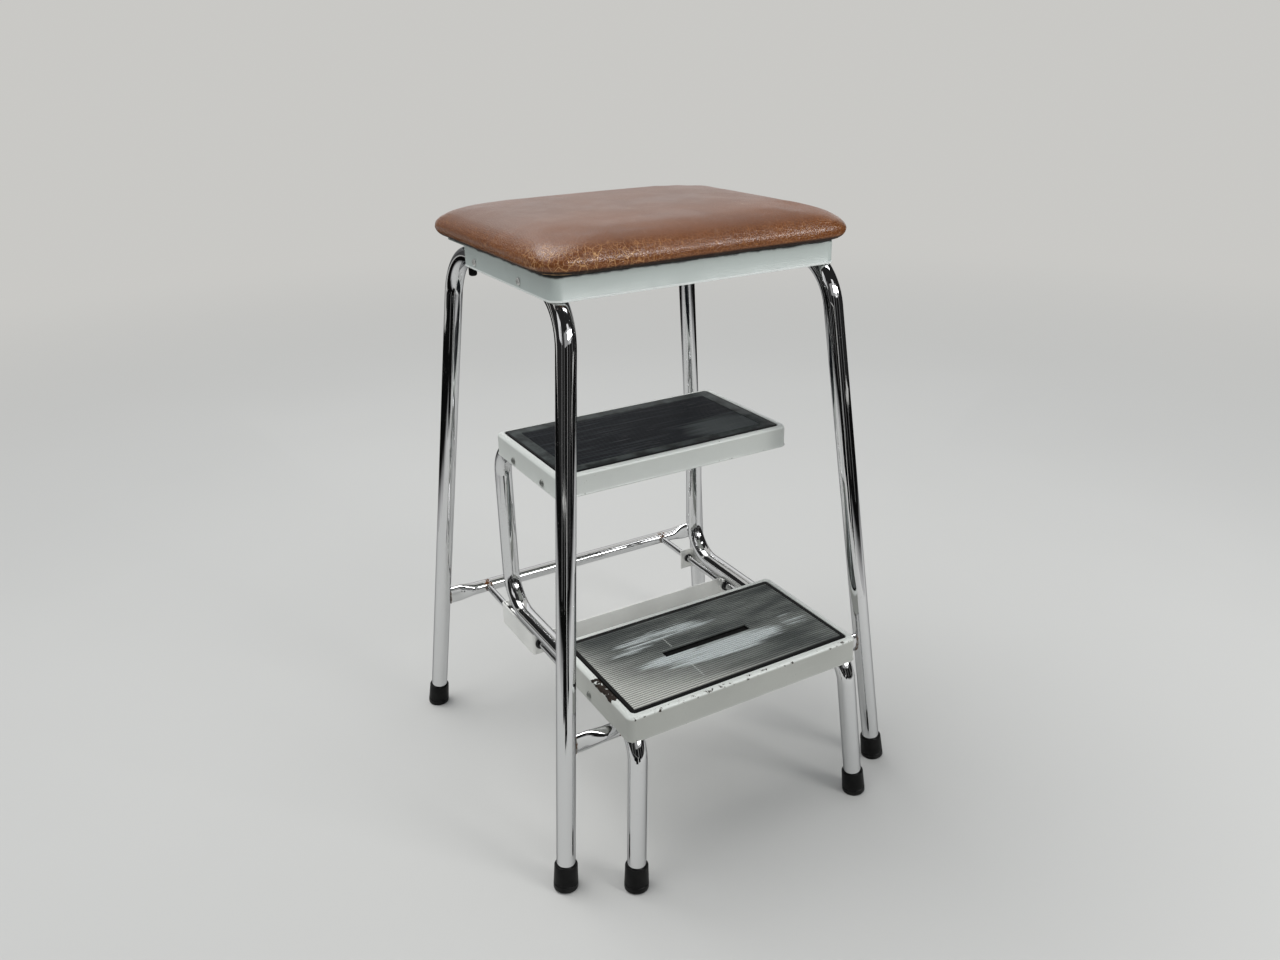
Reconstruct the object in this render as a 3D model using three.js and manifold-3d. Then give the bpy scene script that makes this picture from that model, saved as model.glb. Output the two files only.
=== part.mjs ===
// Step stool with a padded seat and a pull-out unit of two steps.
//
// Two U-shaped tube frames stand side by side, joined low down by two crossbars, and carry a pressed seat
// pan with a padded board on it. A second, sliding frame carries the two steps. Its sheet bracket runs on
// two guide rods between the crossbars, so the steps pull out to the front and push back under the seat.
//
// Millimetres, +Z up. The steps pull out towards -Y, and +X is to the right of someone who faces the stool.
import * as THREE from "three";
import { mergeVertices } from "three/addons/utils/BufferGeometryUtils.js";
import Module from "manifold-3d";

const wasm = await Module();
wasm.setup();

// Sizes

const GAP = 0.3; // between two pieces that touch
const OVERRUN = 5; // how far a cutting shape reaches past what it cuts
const WELD = 0.0005; // vertices nearer than this are one

// Tubes and rods
const TUBE_R = 10;
const TUBE_WALL = 1.5;
const CROSSBAR_R = 8;
const CROSSBAR_WALL = 1.2;
const ROD_R = 4;

// Leg frames: foot and top corner of each leg, measured to the tube's axis
const FOOT_X = 210;
const FOOT_Y = 195;
const FRAME_TOP_Z = 608;
const FRAME_CORNER_REACH = 3.3; // of the top corners past the seat pan's front and rear
const FRAME_BEND_R = 55;
const FRAME_LEAN_ROOM = 0.9; // inside the pan's skirt, because the bends lean out below the run

// Crossbars and guide rods
const CROSSBAR_Z = 161;
const CROSSBAR_FLAT_HALF_HEIGHT = 11.6; // at the pressed ends
const CROSSBAR_FLAT_HALF_WIDTH = 3.2;
const FLAT_LENGTH = 22; // of each pressed end, from the leg's axis
const FLAT_RUN_OUT = 24; // over which the round bar turns into the pressed end
const STEP_TUBE_X = 132.5; // the step tubes run right above the guide rods

// Rubber tips
const TIP_R = 13;
const TIP_TOP_R = 12.2;
const TIP_HEIGHT = 29;
const TIP_FLOOR = 6;
const TIP_EDGE = 2.5;
const TIP_SINK = 1; // the tip's low end lies this far below the floor before it is cut flat

// Pressed pans
const SHEET = 1.2;
const PAN_EDGE_R = 4;
const PAN_BEAD = 1;
const PAN_BEAD_HEIGHT = 1.6;
const PAN_CORNER_R = 12;
const SEAT_PAN_DROP = 8; // of the skirt's lower edge below the frame's axis
const SEAT_PAN_HEIGHT = 25;
const SEAT_PAN_HALF_X = 161.6;
const SEAT_PAN_HALF_Y = 135.2;
const SIDE_SKIRT_ROOM = 6.5; // between the side skirts' ends and the rear bends
const REAR_SKIRT_ROOM = 11.5; // between the rear skirt's ends and the frames

// Seat
const COVER = 1.2;
const COVER_HEM = 24;
const FOAM_ROOM = 0.8; // between the foam and the cover, whose facets cut a little inside the true curve
const BOARD = 10;
const BOARD_INSET = 6; // from the cover's widest line
const CUSHION_OVERHANG_X = 12.9; // past the seat pan, at each side
const CUSHION_OVERHANG_Y = 16.8; // and at the front and rear
const CUSHION_CORNER_R = 30;
const CUSHION_TUCK = 5; // how far the cover draws in under its widest line
const CUSHION_TUCK_HEIGHT = 3.5;
const CUSHION_SIDE_HEIGHT = 25; // from the widest line to where the top begins
const CUSHION_ROUND = 40; // how far the rounded side reaches in
const CUSHION_CROWN = 4.5;

// Step frame: foot, run, rise and top of each tube, measured to its axis
const STEP_FOOT_X = 147;
const STEP_FOOT_Y = -234;
const STEP_FRONT_CORNER_Y = -219.5;
const RUN_ROOM = 2; // between the run and the front crossbar under it
const RISE_SETBACK = 15.7; // of the rise behind the middle step
const STEP_TOP_Z = 392;
const STEP_FRONT_BEND_R = 35;
const STEP_REAR_BEND_R = 44;
const STEP_TOP_BEND_R = 40;
const TUBE_END_SETBACK = 12; // of the tube's open end from the middle step's front skirt

// Steps
const STEP_LEAN_ROOM = 0.8; // between the skirt and the tube, whose leg leans out below the run
const STEP_HALF_X = STEP_TUBE_X + TUBE_R + STEP_LEAN_ROOM + SHEET;
const MAT_SIDE_RIM = 8.5;
const MAT_HALF_X = STEP_HALF_X - MAT_SIDE_RIM;
const MAT_DEPTH = 150;
const MAT = 3;
const MAT_CORNER_R = 4;
const POCKET_DEPTH = 3; // of the pans' plates under their rims, for the mats
const POCKET_SLOPE = 1; // of the pocket's wall, from its floor to the rim
const LOWER_MAT_FRONT_Y = -216.6;
const LOWER_RIM = 8;
const LOWER_PAN_DROP = 7; // of the skirt's lower edge below the tube's axis
const LOWER_PAN_HEIGHT = 29;
const MIDDLE_MAT_FRONT_Y = -81;
const MIDDLE_RIM = 6;
const MIDDLE_PAN_DROP = 6.4;
const MIDDLE_PAN_HEIGHT = 25;
const STEP_CORNER_R = 8;

// Ribs of the mats
const RIB_PITCH = 3.4;
const RIB_GROOVE = 1.4;
const RIB_DEPTH = 1;
const LOWER_RIB_BORDER = 5;
const MIDDLE_RIB_BORDER = 15;
const RECESS_LENGTH = 109;
const RECESS_WIDTH = 9;
const RECESS_DEPTH = 2.2;

// Slide bracket
const BRACKET_SHEET = 2;
const BRACKET_WEB_Y = 14;
const BRACKET_REACH = 15.3; // of the tabs behind the rise
const BRACKET_BELOW = 14; // the rods' axis
const BRACKET_ABOVE = 13;
const BRACKET_BEND_R = 4;
const TAB_LENGTH = 20;
const BUSHING_BORE_R = ROD_R + GAP;
const BUSHING_BODY_R = 5.4;
const BUSHING_FLANGE_R = 7;
const BUSHING_FLANGE = 1.6;
const BUSHING_TAIL = 2.5;

// Screws
const SCREW_R = 2;
const SCREW_HOLE_R = SCREW_R + GAP + GAP;
const SCREW_LENGTH = 13;
const SCREW_HEAD_R = 3.8;
const SCREW_HEAD = 2.2;
const PAN_SCREW_SHARES = [0.27, 0.685]; // of each pan's depth, from its front
const LOWER_SCREW_SHARES = [0.528, 0.859];
const MIDDLE_SCREW_SHARES = [0.241, 0.697];
const BOARD_SCREW_SHARE = 0.66; // of the pan's half width and half depth
const BOARD_SCREW_LENGTH = 9.5;
const BOARD_SCREW_HEAD = 1.8;

// Rubber buffers under the rear bends of the leg frames
const BUFFER_R = 4.5;
const BUFFER_SETBACK = 48.5; // in front of the frame's rear corner
const BUFFER_DROP = 12; // below the tube

// Plugs in the step tubes' upper ends
const PLUG_LENGTH = 9;
const PLUG_CAP = 2.5;

// Facets
const TUBE_SIDES = 16;
const BORE_SIDES = 8;
const BEND_STEPS = 6;
const ROUND_SIDES = 12;
const TIP_SIDES = 16;
const CORNER_STEPS = 4;
const EDGE_STEPS = 3;
const SIDE_STEPS = 3;
const CUSHION_EDGE_STEPS = 5;
const CROWN_STEPS = 3;
const SMALLEST_CORNER_SHARE = 0.2; // of a plan's corner, however far it is drawn in

// Places worked out from the sizes

// The frame's top run lies just inside the pan's side skirts.
const FRAME_TOP_X = SEAT_PAN_HALF_X - SHEET - FRAME_LEAN_ROOM - TUBE_R;
const FRAME_CORNER_Y = SEAT_PAN_HALF_Y + FRAME_CORNER_REACH;
const SEAT_PAN_Z = FRAME_TOP_Z - SEAT_PAN_DROP;
const SIDE_SKIRT_END_Y = FRAME_CORNER_Y - FRAME_BEND_R - SIDE_SKIRT_ROOM;
const REAR_SKIRT_HALF_X = FRAME_TOP_X - TUBE_R - REAR_SKIRT_ROOM;
const CUSHION_HALF_X = SEAT_PAN_HALF_X + CUSHION_OVERHANG_X;
const CUSHION_HALF_Y = SEAT_PAN_HALF_Y + CUSHION_OVERHANG_Y;
const RUN_Z = CROSSBAR_Z + CROSSBAR_R + RUN_ROOM + TUBE_R;
const LOWER_PAN_Z = RUN_Z - LOWER_PAN_DROP;
const MIDDLE_PAN_Z = STEP_TOP_Z - MIDDLE_PAN_DROP;
const LOWER_PAN_FRONT_Y = LOWER_MAT_FRONT_Y - LOWER_RIM;
const LOWER_PAN_REAR_Y = LOWER_MAT_FRONT_Y + MAT_DEPTH + LOWER_RIM;
const MIDDLE_PAN_FRONT_Y = MIDDLE_MAT_FRONT_Y - MIDDLE_RIM;
const MIDDLE_PAN_REAR_Y = MIDDLE_MAT_FRONT_Y + MAT_DEPTH + MIDDLE_RIM;
const SEAT_TOP_Z = SEAT_PAN_Z + SEAT_PAN_HEIGHT;
const TUBE_END_Y = MIDDLE_PAN_FRONT_Y + SHEET + TUBE_END_SETBACK;
const RISE_Y = MIDDLE_PAN_REAR_Y + RISE_SETBACK;
const BRACKET_REAR_Y = RISE_Y + BRACKET_REACH;
const BRACKET_LOW_Z = CROSSBAR_Z - BRACKET_BELOW;
const BRACKET_TOP_Z = CROSSBAR_Z + BRACKET_ABOVE;
const BUFFER_Y = FRAME_CORNER_Y - BUFFER_SETBACK;

const placesAlong = (shares, front, rear) => shares.map((share) => front + (rear - front) * share);
const PAN_SCREW_Y = placesAlong(PAN_SCREW_SHARES, -SEAT_PAN_HALF_Y, SEAT_PAN_HALF_Y);
const LOWER_SCREW_Y = placesAlong(LOWER_SCREW_SHARES, LOWER_PAN_FRONT_Y, LOWER_PAN_REAR_Y);
const MIDDLE_SCREW_Y = placesAlong(MIDDLE_SCREW_SHARES, MIDDLE_PAN_FRONT_Y, MIDDLE_PAN_REAR_Y);
const BOARD_SCREW_X = SEAT_PAN_HALF_X * BOARD_SCREW_SHARE;
const BOARD_SCREW_Y = SEAT_PAN_HALF_Y * BOARD_SCREW_SHARE;

const vec = (x, y, z) => new THREE.Vector3(x, y, z);

// Where the leg on side sx (-1 left, 1 right) and end sy (-1 front, 1 rear) passes height z.
function legAt(sx, sy, z) {
  const share = z / FRAME_TOP_Z;
  return vec(
    sx * (FOOT_X + (FRAME_TOP_X - FOOT_X) * share),
    sy * (FOOT_Y + (FRAME_CORNER_Y - FOOT_Y) * share),
    z,
  );
}

function stepLegAt(sx, z) {
  const share = z / RUN_Z;
  return vec(
    sx * (STEP_FOOT_X + (STEP_TUBE_X - STEP_FOOT_X) * share),
    STEP_FOOT_Y + (STEP_FRONT_CORNER_Y - STEP_FOOT_Y) * share,
    z,
  );
}

// Shapes

// A centre line of straight runs and round bends. Each corner is { at, bend }, and the curve has one
// station at each end of a run and at each step of a bend, so that a swept section turns only where the
// tube is bent.
class BentLine extends THREE.Curve {
  constructor(corners) {
    super();
    this.stations = [];
    corners.forEach(({ at, bend }, i) => {
      const before = corners[i - 1];
      const after = corners[i + 1];
      if (!before || !after) {
        const other = before ? before.at : after.at;
        const along = before ? at.clone().sub(other) : other.clone().sub(at);
        this.stations.push({ point: at, tangent: along.normalize() });
        return;
      }
      const come = at.clone().sub(before.at).normalize();
      const go = after.at.clone().sub(at).normalize();
      const turn = come.angleTo(go);
      const start = at.clone().addScaledVector(come, -bend * Math.tan(turn / 2));
      const inward = go.clone().addScaledVector(come, -go.dot(come)).normalize();
      const centre = start.clone().addScaledVector(inward, bend);
      const axis = come.clone().cross(go).normalize();
      for (let k = 0; k <= BEND_STEPS; k++) {
        const angle = (turn * k) / BEND_STEPS;
        const out = inward.clone().negate().applyAxisAngle(axis, angle);
        this.stations.push({
          point: centre.clone().addScaledVector(out, bend),
          tangent: come.clone().applyAxisAngle(axis, angle),
        });
      }
    });
    this.steps = this.stations.length - 1;
  }

  getPointAt(u, target = new THREE.Vector3()) {
    return target.copy(this.stations[Math.round(u * this.steps)].point);
  }

  getTangentAt(u, target = new THREE.Vector3()) {
    return target.copy(this.stations[Math.round(u * this.steps)].tangent);
  }
}

function circle(radius, sides, Kind = THREE.Shape) {
  const points = [];
  for (let i = 0; i < sides; i++) {
    const angle = (2 * Math.PI * i) / sides;
    points.push(new THREE.Vector2(radius * Math.cos(angle), radius * Math.sin(angle)));
  }
  return new Kind(points);
}

// A round bar along a centre line, or a tube when it has a bore.
function bentTube(corners, radius, bore) {
  const line = new BentLine(corners);
  const section = circle(radius, TUBE_SIDES);
  if (bore) section.holes.push(circle(bore, BORE_SIDES, THREE.Path));
  return new THREE.ExtrudeGeometry(section, { steps: line.steps, extrudePath: line });
}

// Rings of points, each as many as the last, skinned in order from a closed end to a closed end. With ends
// left open, the last ring meets the first instead, which makes a pipe's wall.
function skin(rings, pipe = false) {
  const count = rings[0].length;
  const position = rings.flat().flatMap((p) => [p.x, p.y, p.z]);
  const index = [];
  const last = pipe ? rings.length : rings.length - 1;
  for (let i = 0; i < last; i++) {
    const low = i * count;
    const high = ((i + 1) % rings.length) * count;
    for (let j = 0; j < count; j++) {
      const next = (j + 1) % count;
      index.push(low + j, low + next, high + next, low + j, high + next, high + j);
    }
  }
  if (!pipe) {
    for (const [ring, up] of [[0, false], [rings.length - 1, true]]) {
      const middle = new THREE.Vector3();
      for (const p of rings[ring]) middle.addScaledVector(p, 1 / count);
      const centre = position.length / 3;
      position.push(middle.x, middle.y, middle.z);
      for (let j = 0; j < count; j++) {
        const a = ring * count + j;
        const b = ring * count + ((j + 1) % count);
        index.push(centre, up ? a : b, up ? b : a);
      }
    }
  }
  const geometry = new THREE.BufferGeometry();
  geometry.setAttribute("position", new THREE.Float32BufferAttribute(position, 3));
  geometry.setIndex(index);
  return geometry;
}

// A rounded rectangle at height z, drawn in by inset, with each straight side in sideSteps.
function roundedRing({ halfX, minY, maxY, corner }, inset, z, sideSteps = 1) {
  const ring = [];
  const r = Math.max(corner - inset, corner * SMALLEST_CORNER_SHARE);
  const x = halfX - inset - r;
  const low = minY + inset + r;
  const high = maxY - inset - r;
  const corners = [[x, high], [-x, high], [-x, low], [x, low]];
  corners.forEach(([cx, cy], i) => {
    const points = [];
    for (let k = 0; k <= CORNER_STEPS; k++) {
      const angle = (Math.PI / 2) * (i + k / CORNER_STEPS);
      points.push(vec(cx + r * Math.cos(angle), cy + r * Math.sin(angle), z));
    }
    ring.push(...points);
    const [nx, ny] = corners[(i + 1) % corners.length];
    const angle = (Math.PI / 2) * (i + 1);
    const start = points.at(-1);
    const end = vec(nx + r * Math.cos(angle), ny + r * Math.sin(angle), z);
    for (let k = 1; k < sideSteps; k++) ring.push(start.clone().lerp(end, k / sideSteps));
  });
  return ring;
}

// An upside-down tray of sheet, from the underside of its plate down the inside of the skirt, round the
// bead on its lower edge, up the outside and over the rounded edge to the top.
function tray(plan, z, height) {
  const rings = [];
  const inner = PAN_EDGE_R - SHEET;
  for (let k = EDGE_STEPS; k >= 0; k--) {
    const angle = ((Math.PI / 2) * k) / EDGE_STEPS;
    rings.push([PAN_EDGE_R - inner * Math.cos(angle), z + height - PAN_EDGE_R + inner * Math.sin(angle)]);
  }
  rings.push([SHEET, z]);
  rings.push([-PAN_BEAD, z]);
  rings.push([-PAN_BEAD, z + PAN_BEAD_HEIGHT / 2]);
  rings.push([0, z + PAN_BEAD_HEIGHT]);
  for (let k = 0; k <= EDGE_STEPS; k++) {
    const angle = ((Math.PI / 2) * k) / EDGE_STEPS;
    rings.push([
      PAN_EDGE_R - PAN_EDGE_R * Math.cos(angle),
      z + height - PAN_EDGE_R + PAN_EDGE_R * Math.sin(angle),
    ]);
  }
  return skin(rings.map(([inset, level]) => roundedRing(plan, inset, level)));
}

// A geometry as a solid that can be joined and cut.
function solid(geometry, matrix = new THREE.Matrix4()) {
  const bare = geometry.index ? geometry.toNonIndexed() : geometry.clone();
  bare.deleteAttribute("normal");
  bare.deleteAttribute("uv");
  bare.applyMatrix4(matrix);
  const merged = mergeVertices(bare, WELD);
  return new wasm.Manifold(
    new wasm.Mesh({
      numProp: 3,
      vertProperties: merged.attributes.position.array,
      triVerts: new Uint32Array(merged.index.array),
    }),
  );
}

function geometryOf(made) {
  const { vertProperties, triVerts } = made.getMesh();
  const geometry = new THREE.BufferGeometry();
  geometry.setAttribute("position", new THREE.BufferAttribute(vertProperties, 3));
  geometry.setIndex(new THREE.BufferAttribute(triVerts, 1));
  return geometry;
}

function cut(geometry, tools) {
  return geometryOf(tools.reduce((left, tool) => left.subtract(tool), solid(geometry)));
}

const moved = (x, y, z) => new THREE.Matrix4().makeTranslation(x, y, z);

// A box from its least to its greatest corner.
function block(low, high) {
  const size = high.clone().sub(low);
  const middle = low.clone().add(high).multiplyScalar(1 / 2);
  return solid(new THREE.BoxGeometry(size.x, size.y, size.z), moved(middle.x, middle.y, middle.z));
}

// A round hole through a side wall, along X.
function sideHole(x, y, z, radius, length) {
  const drill = new THREE.CylinderGeometry(radius, radius, length, ROUND_SIDES);
  return solid(drill.rotateZ(Math.PI / 2), moved(x, y, z));
}

function turned(points, sides) {
  return new THREE.LatheGeometry(points.map(([r, y]) => new THREE.Vector2(r, y)), sides);
}

// Finishes

const finish = (color, roughness, metalness) =>
  new THREE.MeshStandardMaterial({ color, roughness, metalness });
const CHROME = finish(0xd8dadc, 0.12, 1);
const SEAT_PAINT = finish(0xa4acaa, 0.4, 0.35);
const STEP_ENAMEL = finish(0xc3cac7, 0.45, 0.1);
const LEATHERETTE = finish(0x7a4426, 0.4, 0);
const FOAM = finish(0xd9c98f, 0.95, 0);
const PLYWOOD = finish(0xb48c5a, 0.8, 0);
const RUBBER = finish(0x1b1b1c, 0.75, 0);
const WORN_MAT = finish(0x6a6d69, 0.8, 0);
const BLUE_MAT = finish(0x1d2530, 0.65, 0);
const ZINC = finish(0x9b9b96, 0.4, 0.8);
const NYLON = finish(0x141414, 0.5, 0);

function add(group, name, geometry, material) {
  const mesh = new THREE.Mesh(geometry, material);
  mesh.name = name;
  group.add(mesh);
  return mesh;
}

const SIDES = [["left", -1], ["right", 1]];
const ENDS = [["front", -1], ["rear", 1]];

// Leg frames

const stool = new THREE.Group();

// Both legs of one side and the run between them, bent from one tube.
function frameCorners(sx) {
  const footZ = TIP_FLOOR + GAP - TIP_SINK;
  return [
    { at: legAt(sx, -1, footZ) },
    { at: legAt(sx, -1, FRAME_TOP_Z), bend: FRAME_BEND_R },
    { at: legAt(sx, 1, FRAME_TOP_Z), bend: FRAME_BEND_R },
    { at: legAt(sx, 1, footZ) },
  ];
}

// The room that a side frame takes up, for what is shaped to it.
const frameRoom = SIDES.map(([, sx]) => solid(bentTube(frameCorners(sx), TUBE_R + GAP)));

// Holes for the screws that go through a skirt into the tube beside it.
function skirtHoles(sx, tubeX, places, z) {
  return places.map((y) => sideHole(sx * (tubeX + TUBE_R), y, z, SCREW_HOLE_R, TUBE_R + TUBE_R));
}

for (const [side, sx] of SIDES) {
  const tube = bentTube(frameCorners(sx), TUBE_R, TUBE_R - TUBE_WALL);
  add(stool, side + "_leg_frame", cut(tube, skirtHoles(sx, FRAME_TOP_X, PAN_SCREW_Y, FRAME_TOP_Z)), CHROME);
}

// Crossbars and guide rods

// A round bar along X whose ends are pressed tall and thin, as rings from left to right.
function crossbarRings(y, endX, grow) {
  const sides = [...Array(ROUND_SIDES).keys()].map((i) => (2 * Math.PI * i) / ROUND_SIDES);
  const flatX = endX - FLAT_LENGTH;
  const roundX = flatX - FLAT_RUN_OUT;
  const halfway = [
    (CROSSBAR_R + CROSSBAR_FLAT_HALF_WIDTH) / 2,
    (CROSSBAR_R + CROSSBAR_FLAT_HALF_HEIGHT) / 2,
  ];
  const right = [
    [roundX, CROSSBAR_R, CROSSBAR_R],
    [(roundX + flatX) / 2, ...halfway],
    [flatX, CROSSBAR_FLAT_HALF_WIDTH, CROSSBAR_FLAT_HALF_HEIGHT],
    [endX, CROSSBAR_FLAT_HALF_WIDTH, CROSSBAR_FLAT_HALF_HEIGHT],
  ];
  const left = right.map(([x, ...half]) => [-x, ...half]).reverse();
  return [...left, ...right].map(([x, halfY, halfZ]) =>
    sides.map((a) => vec(x, y + (halfY + grow) * Math.cos(a), CROSSBAR_Z + (halfZ + grow) * Math.sin(a))),
  );
}

const barRoom = [];
for (const [end, sy] of ENDS) {
  const axis = legAt(1, sy, CROSSBAR_Z);
  const outside = crossbarRings(axis.y, axis.x, 0);
  const inside = crossbarRings(axis.y, axis.x, -CROSSBAR_WALL).reverse();
  add(stool, end + "_crossbar", cut(skin([...outside, ...inside], true), frameRoom), CHROME);
  barRoom.push(solid(skin(crossbarRings(axis.y, axis.x, GAP))));
}

for (const [side, sx] of SIDES) {
  const length = legAt(1, 1, CROSSBAR_Z).y - legAt(1, -1, CROSSBAR_Z).y;
  const rod = new THREE.CylinderGeometry(ROD_R, ROD_R, length, ROUND_SIDES);
  rod.translate(sx * STEP_TUBE_X, 0, CROSSBAR_Z);
  add(stool, side + "_guide_rod", cut(rod, barRoom), CHROME);
}

// Rubber parts of the frame

// A ferrule whose axis follows the leg from its foot, with its underside cut level with the floor.
function tip(foot, top) {
  const outline = [
    [0, 0],
    [TIP_R - TIP_EDGE, 0],
    [TIP_R, TIP_EDGE],
    [TIP_R, TIP_HEIGHT / 2],
    [TIP_TOP_R, TIP_HEIGHT],
    [TUBE_R + GAP, TIP_HEIGHT],
    [TUBE_R + GAP, TIP_FLOOR],
    [0, TIP_FLOOR],
  ];
  const along = top.clone().sub(foot).normalize();
  const place = new THREE.Matrix4().compose(
    foot,
    new THREE.Quaternion().setFromUnitVectors(vec(0, 1, 0), along),
    vec(1, 1, 1),
  );
  const reach = TIP_R + OVERRUN;
  const floor = block(vec(foot.x - reach, foot.y - reach, -OVERRUN), vec(foot.x + reach, foot.y + reach, 0));
  return geometryOf(solid(turned(outline, TIP_SIDES), place).subtract(floor));
}

for (const [end, sy] of ENDS)
  for (const [side, sx] of SIDES) {
    const ferrule = tip(legAt(sx, sy, -TIP_SINK), legAt(sx, sy, FRAME_TOP_Z));
    add(stool, [end, side, "leg_tip"].join("_"), ferrule, RUBBER);
  }

for (const [side, sx] of SIDES) {
  const tall = TUBE_R + BUFFER_DROP;
  const outline = [[0, 0], [BUFFER_R / 2, 0], [BUFFER_R, BUFFER_R / 2], [BUFFER_R, tall], [0, tall]];
  const upright = turned(outline, ROUND_SIDES).rotateX(Math.PI / 2);
  upright.translate(sx * FRAME_TOP_X, BUFFER_Y, FRAME_TOP_Z - tall);
  add(stool, side + "_frame_buffer", cut(upright, frameRoom), RUBBER);
}

// Screws

// A round-headed screw: the head's seat is at the origin, and the head points along +Y.
function screw(length, headR, head) {
  const outline = [
    [0, -length],
    [SCREW_R, SCREW_R - length],
    [SCREW_R, 0],
    [headR, 0],
    [headR, head / 2],
    [headR / 2, head],
    [0, head],
  ];
  return turned(outline, ROUND_SIDES);
}

// The screws of one side: each head lies on the skirt, and points outwards.
function skirtScrews(group, name, side, sx, skirtX, places, z) {
  places.forEach((y, i) => {
    const label = [side, name, ENDS[i][0], "screw"].join("_");
    const mesh = add(group, label, screw(SCREW_LENGTH, SCREW_HEAD_R, SCREW_HEAD), ZINC);
    mesh.position.set(sx * (skirtX + GAP), y, z);
    mesh.rotation.z = (-sx * Math.PI) / 2;
  });
}

// Seat pan

const boardScrewPlaces = ENDS.flatMap(([, sy]) =>
  SIDES.map(([, sx]) => [sx * BOARD_SCREW_X, sy * BOARD_SCREW_Y]),
);

function boardHoles(topZ) {
  const lowZ = SEAT_TOP_Z - SHEET - OVERRUN;
  return boardScrewPlaces.map(([x, y]) => {
    const drill = new THREE.CylinderGeometry(SCREW_HOLE_R, SCREW_HOLE_R, topZ - lowZ, ROUND_SIDES);
    return solid(drill.rotateX(Math.PI / 2), moved(x, y, (lowZ + topZ) / 2));
  });
}

const seatPlan = {
  halfX: SEAT_PAN_HALF_X,
  minY: -SEAT_PAN_HALF_Y,
  maxY: SEAT_PAN_HALF_Y,
  corner: PAN_CORNER_R,
};
// The skirt is cut away at the rear corners, where the frames' bends come out.
const rearCorners = SIDES.map(([, sx]) => {
  const inner = sx * REAR_SKIRT_HALF_X;
  const outer = sx * (SEAT_PAN_HALF_X + OVERRUN);
  return block(
    vec(Math.min(inner, outer), SIDE_SKIRT_END_Y, SEAT_PAN_Z - OVERRUN),
    vec(Math.max(inner, outer), SEAT_PAN_HALF_Y + OVERRUN, SEAT_TOP_Z - PAN_EDGE_R),
  );
});
const panHoles = SIDES.flatMap(([, sx]) => skirtHoles(sx, FRAME_TOP_X, PAN_SCREW_Y, FRAME_TOP_Z));
add(
  stool,
  "seat_pan",
  cut(tray(seatPlan, SEAT_PAN_Z, SEAT_PAN_HEIGHT), [
    ...rearCorners,
    ...panHoles,
    ...boardHoles(SEAT_TOP_Z + OVERRUN),
  ]),
  SEAT_PAINT,
);
for (const [side, sx] of SIDES) {
  skirtScrews(stool, "pan", side, sx, SEAT_PAN_HALF_X, PAN_SCREW_Y, FRAME_TOP_Z);
}

// Seat: board, foam and cover

const cushionPlan = {
  halfX: CUSHION_HALF_X,
  minY: -CUSHION_HALF_Y,
  maxY: CUSHION_HALF_Y,
  corner: CUSHION_CORNER_R,
};
const hemZ = SEAT_TOP_Z + GAP;
const boardZ = hemZ + COVER + GAP;
const foamZ = boardZ + BOARD + GAP;
const widestZ = hemZ + CUSHION_TUCK_HEIGHT;

const cushionRing = ([inset, z]) => roundedRing(cushionPlan, inset, z, SIDE_STEPS);

// The cushion's surface lies the given depth under its outside: the tuck below its widest line, the rounded
// side above it, and the crown, which rises smoothly to the middle.
function tuckProfile(depth) {
  return [0, 1 / 2, 1].map((share) => {
    const angle = (Math.PI / 2) * share;
    return [
      CUSHION_TUCK - (CUSHION_TUCK - depth) * Math.sin(angle),
      widestZ - (CUSHION_TUCK_HEIGHT - depth) * Math.cos(angle),
    ];
  });
}

function sideProfile(depth, fromZ) {
  const tall = CUSHION_SIDE_HEIGHT - depth;
  const first = Math.asin((fromZ - widestZ) / tall);
  const points = [];
  for (let k = 0; k <= CUSHION_EDGE_STEPS; k++) {
    const angle = first + ((Math.PI / 2 - first) * k) / CUSHION_EDGE_STEPS;
    points.push([
      CUSHION_ROUND - (CUSHION_ROUND - depth) * Math.cos(angle),
      widestZ + tall * Math.sin(angle),
    ]);
  }
  return points;
}

function crownRings(depth) {
  const topZ = widestZ + CUSHION_SIDE_HEIGHT - depth;
  const rim = cushionRing([CUSHION_ROUND, topZ]);
  const rings = [];
  for (let k = 1; k <= CROWN_STEPS; k++) {
    const share = 1 - k / (CROWN_STEPS + 1 / 2);
    rings.push(rim.map((p) => vec(p.x * share, p.y * share, topZ + crownRise(p.x * share, p.y * share))));
  }
  return rings;
}

function crownRise(x, y) {
  const acrossShare = x / (CUSHION_HALF_X - CUSHION_ROUND);
  const alongShare = y / (CUSHION_HALF_Y - CUSHION_ROUND);
  return CUSHION_CROWN * (1 - acrossShare ** 2) * (1 - alongShare ** 2);
}

const outerRings = [
  cushionRing([COVER_HEM, hemZ]),
  ...tuckProfile(0).map(cushionRing),
  ...sideProfile(0, widestZ).slice(1).map(cushionRing),
  ...crownRings(0),
];
const innerRings = [
  cushionRing([COVER_HEM, hemZ + COVER]),
  ...tuckProfile(COVER).map(cushionRing),
  ...sideProfile(COVER, widestZ).slice(1).map(cushionRing),
  ...crownRings(COVER),
];
add(stool, "seat_cover", skin([...innerRings.reverse(), ...outerRings]), LEATHERETTE);

const foamDepth = COVER + FOAM_ROOM;
const foamRings = [...sideProfile(foamDepth, foamZ).map(cushionRing), ...crownRings(foamDepth)];
add(stool, "seat_foam", skin(foamRings), FOAM);

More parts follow.
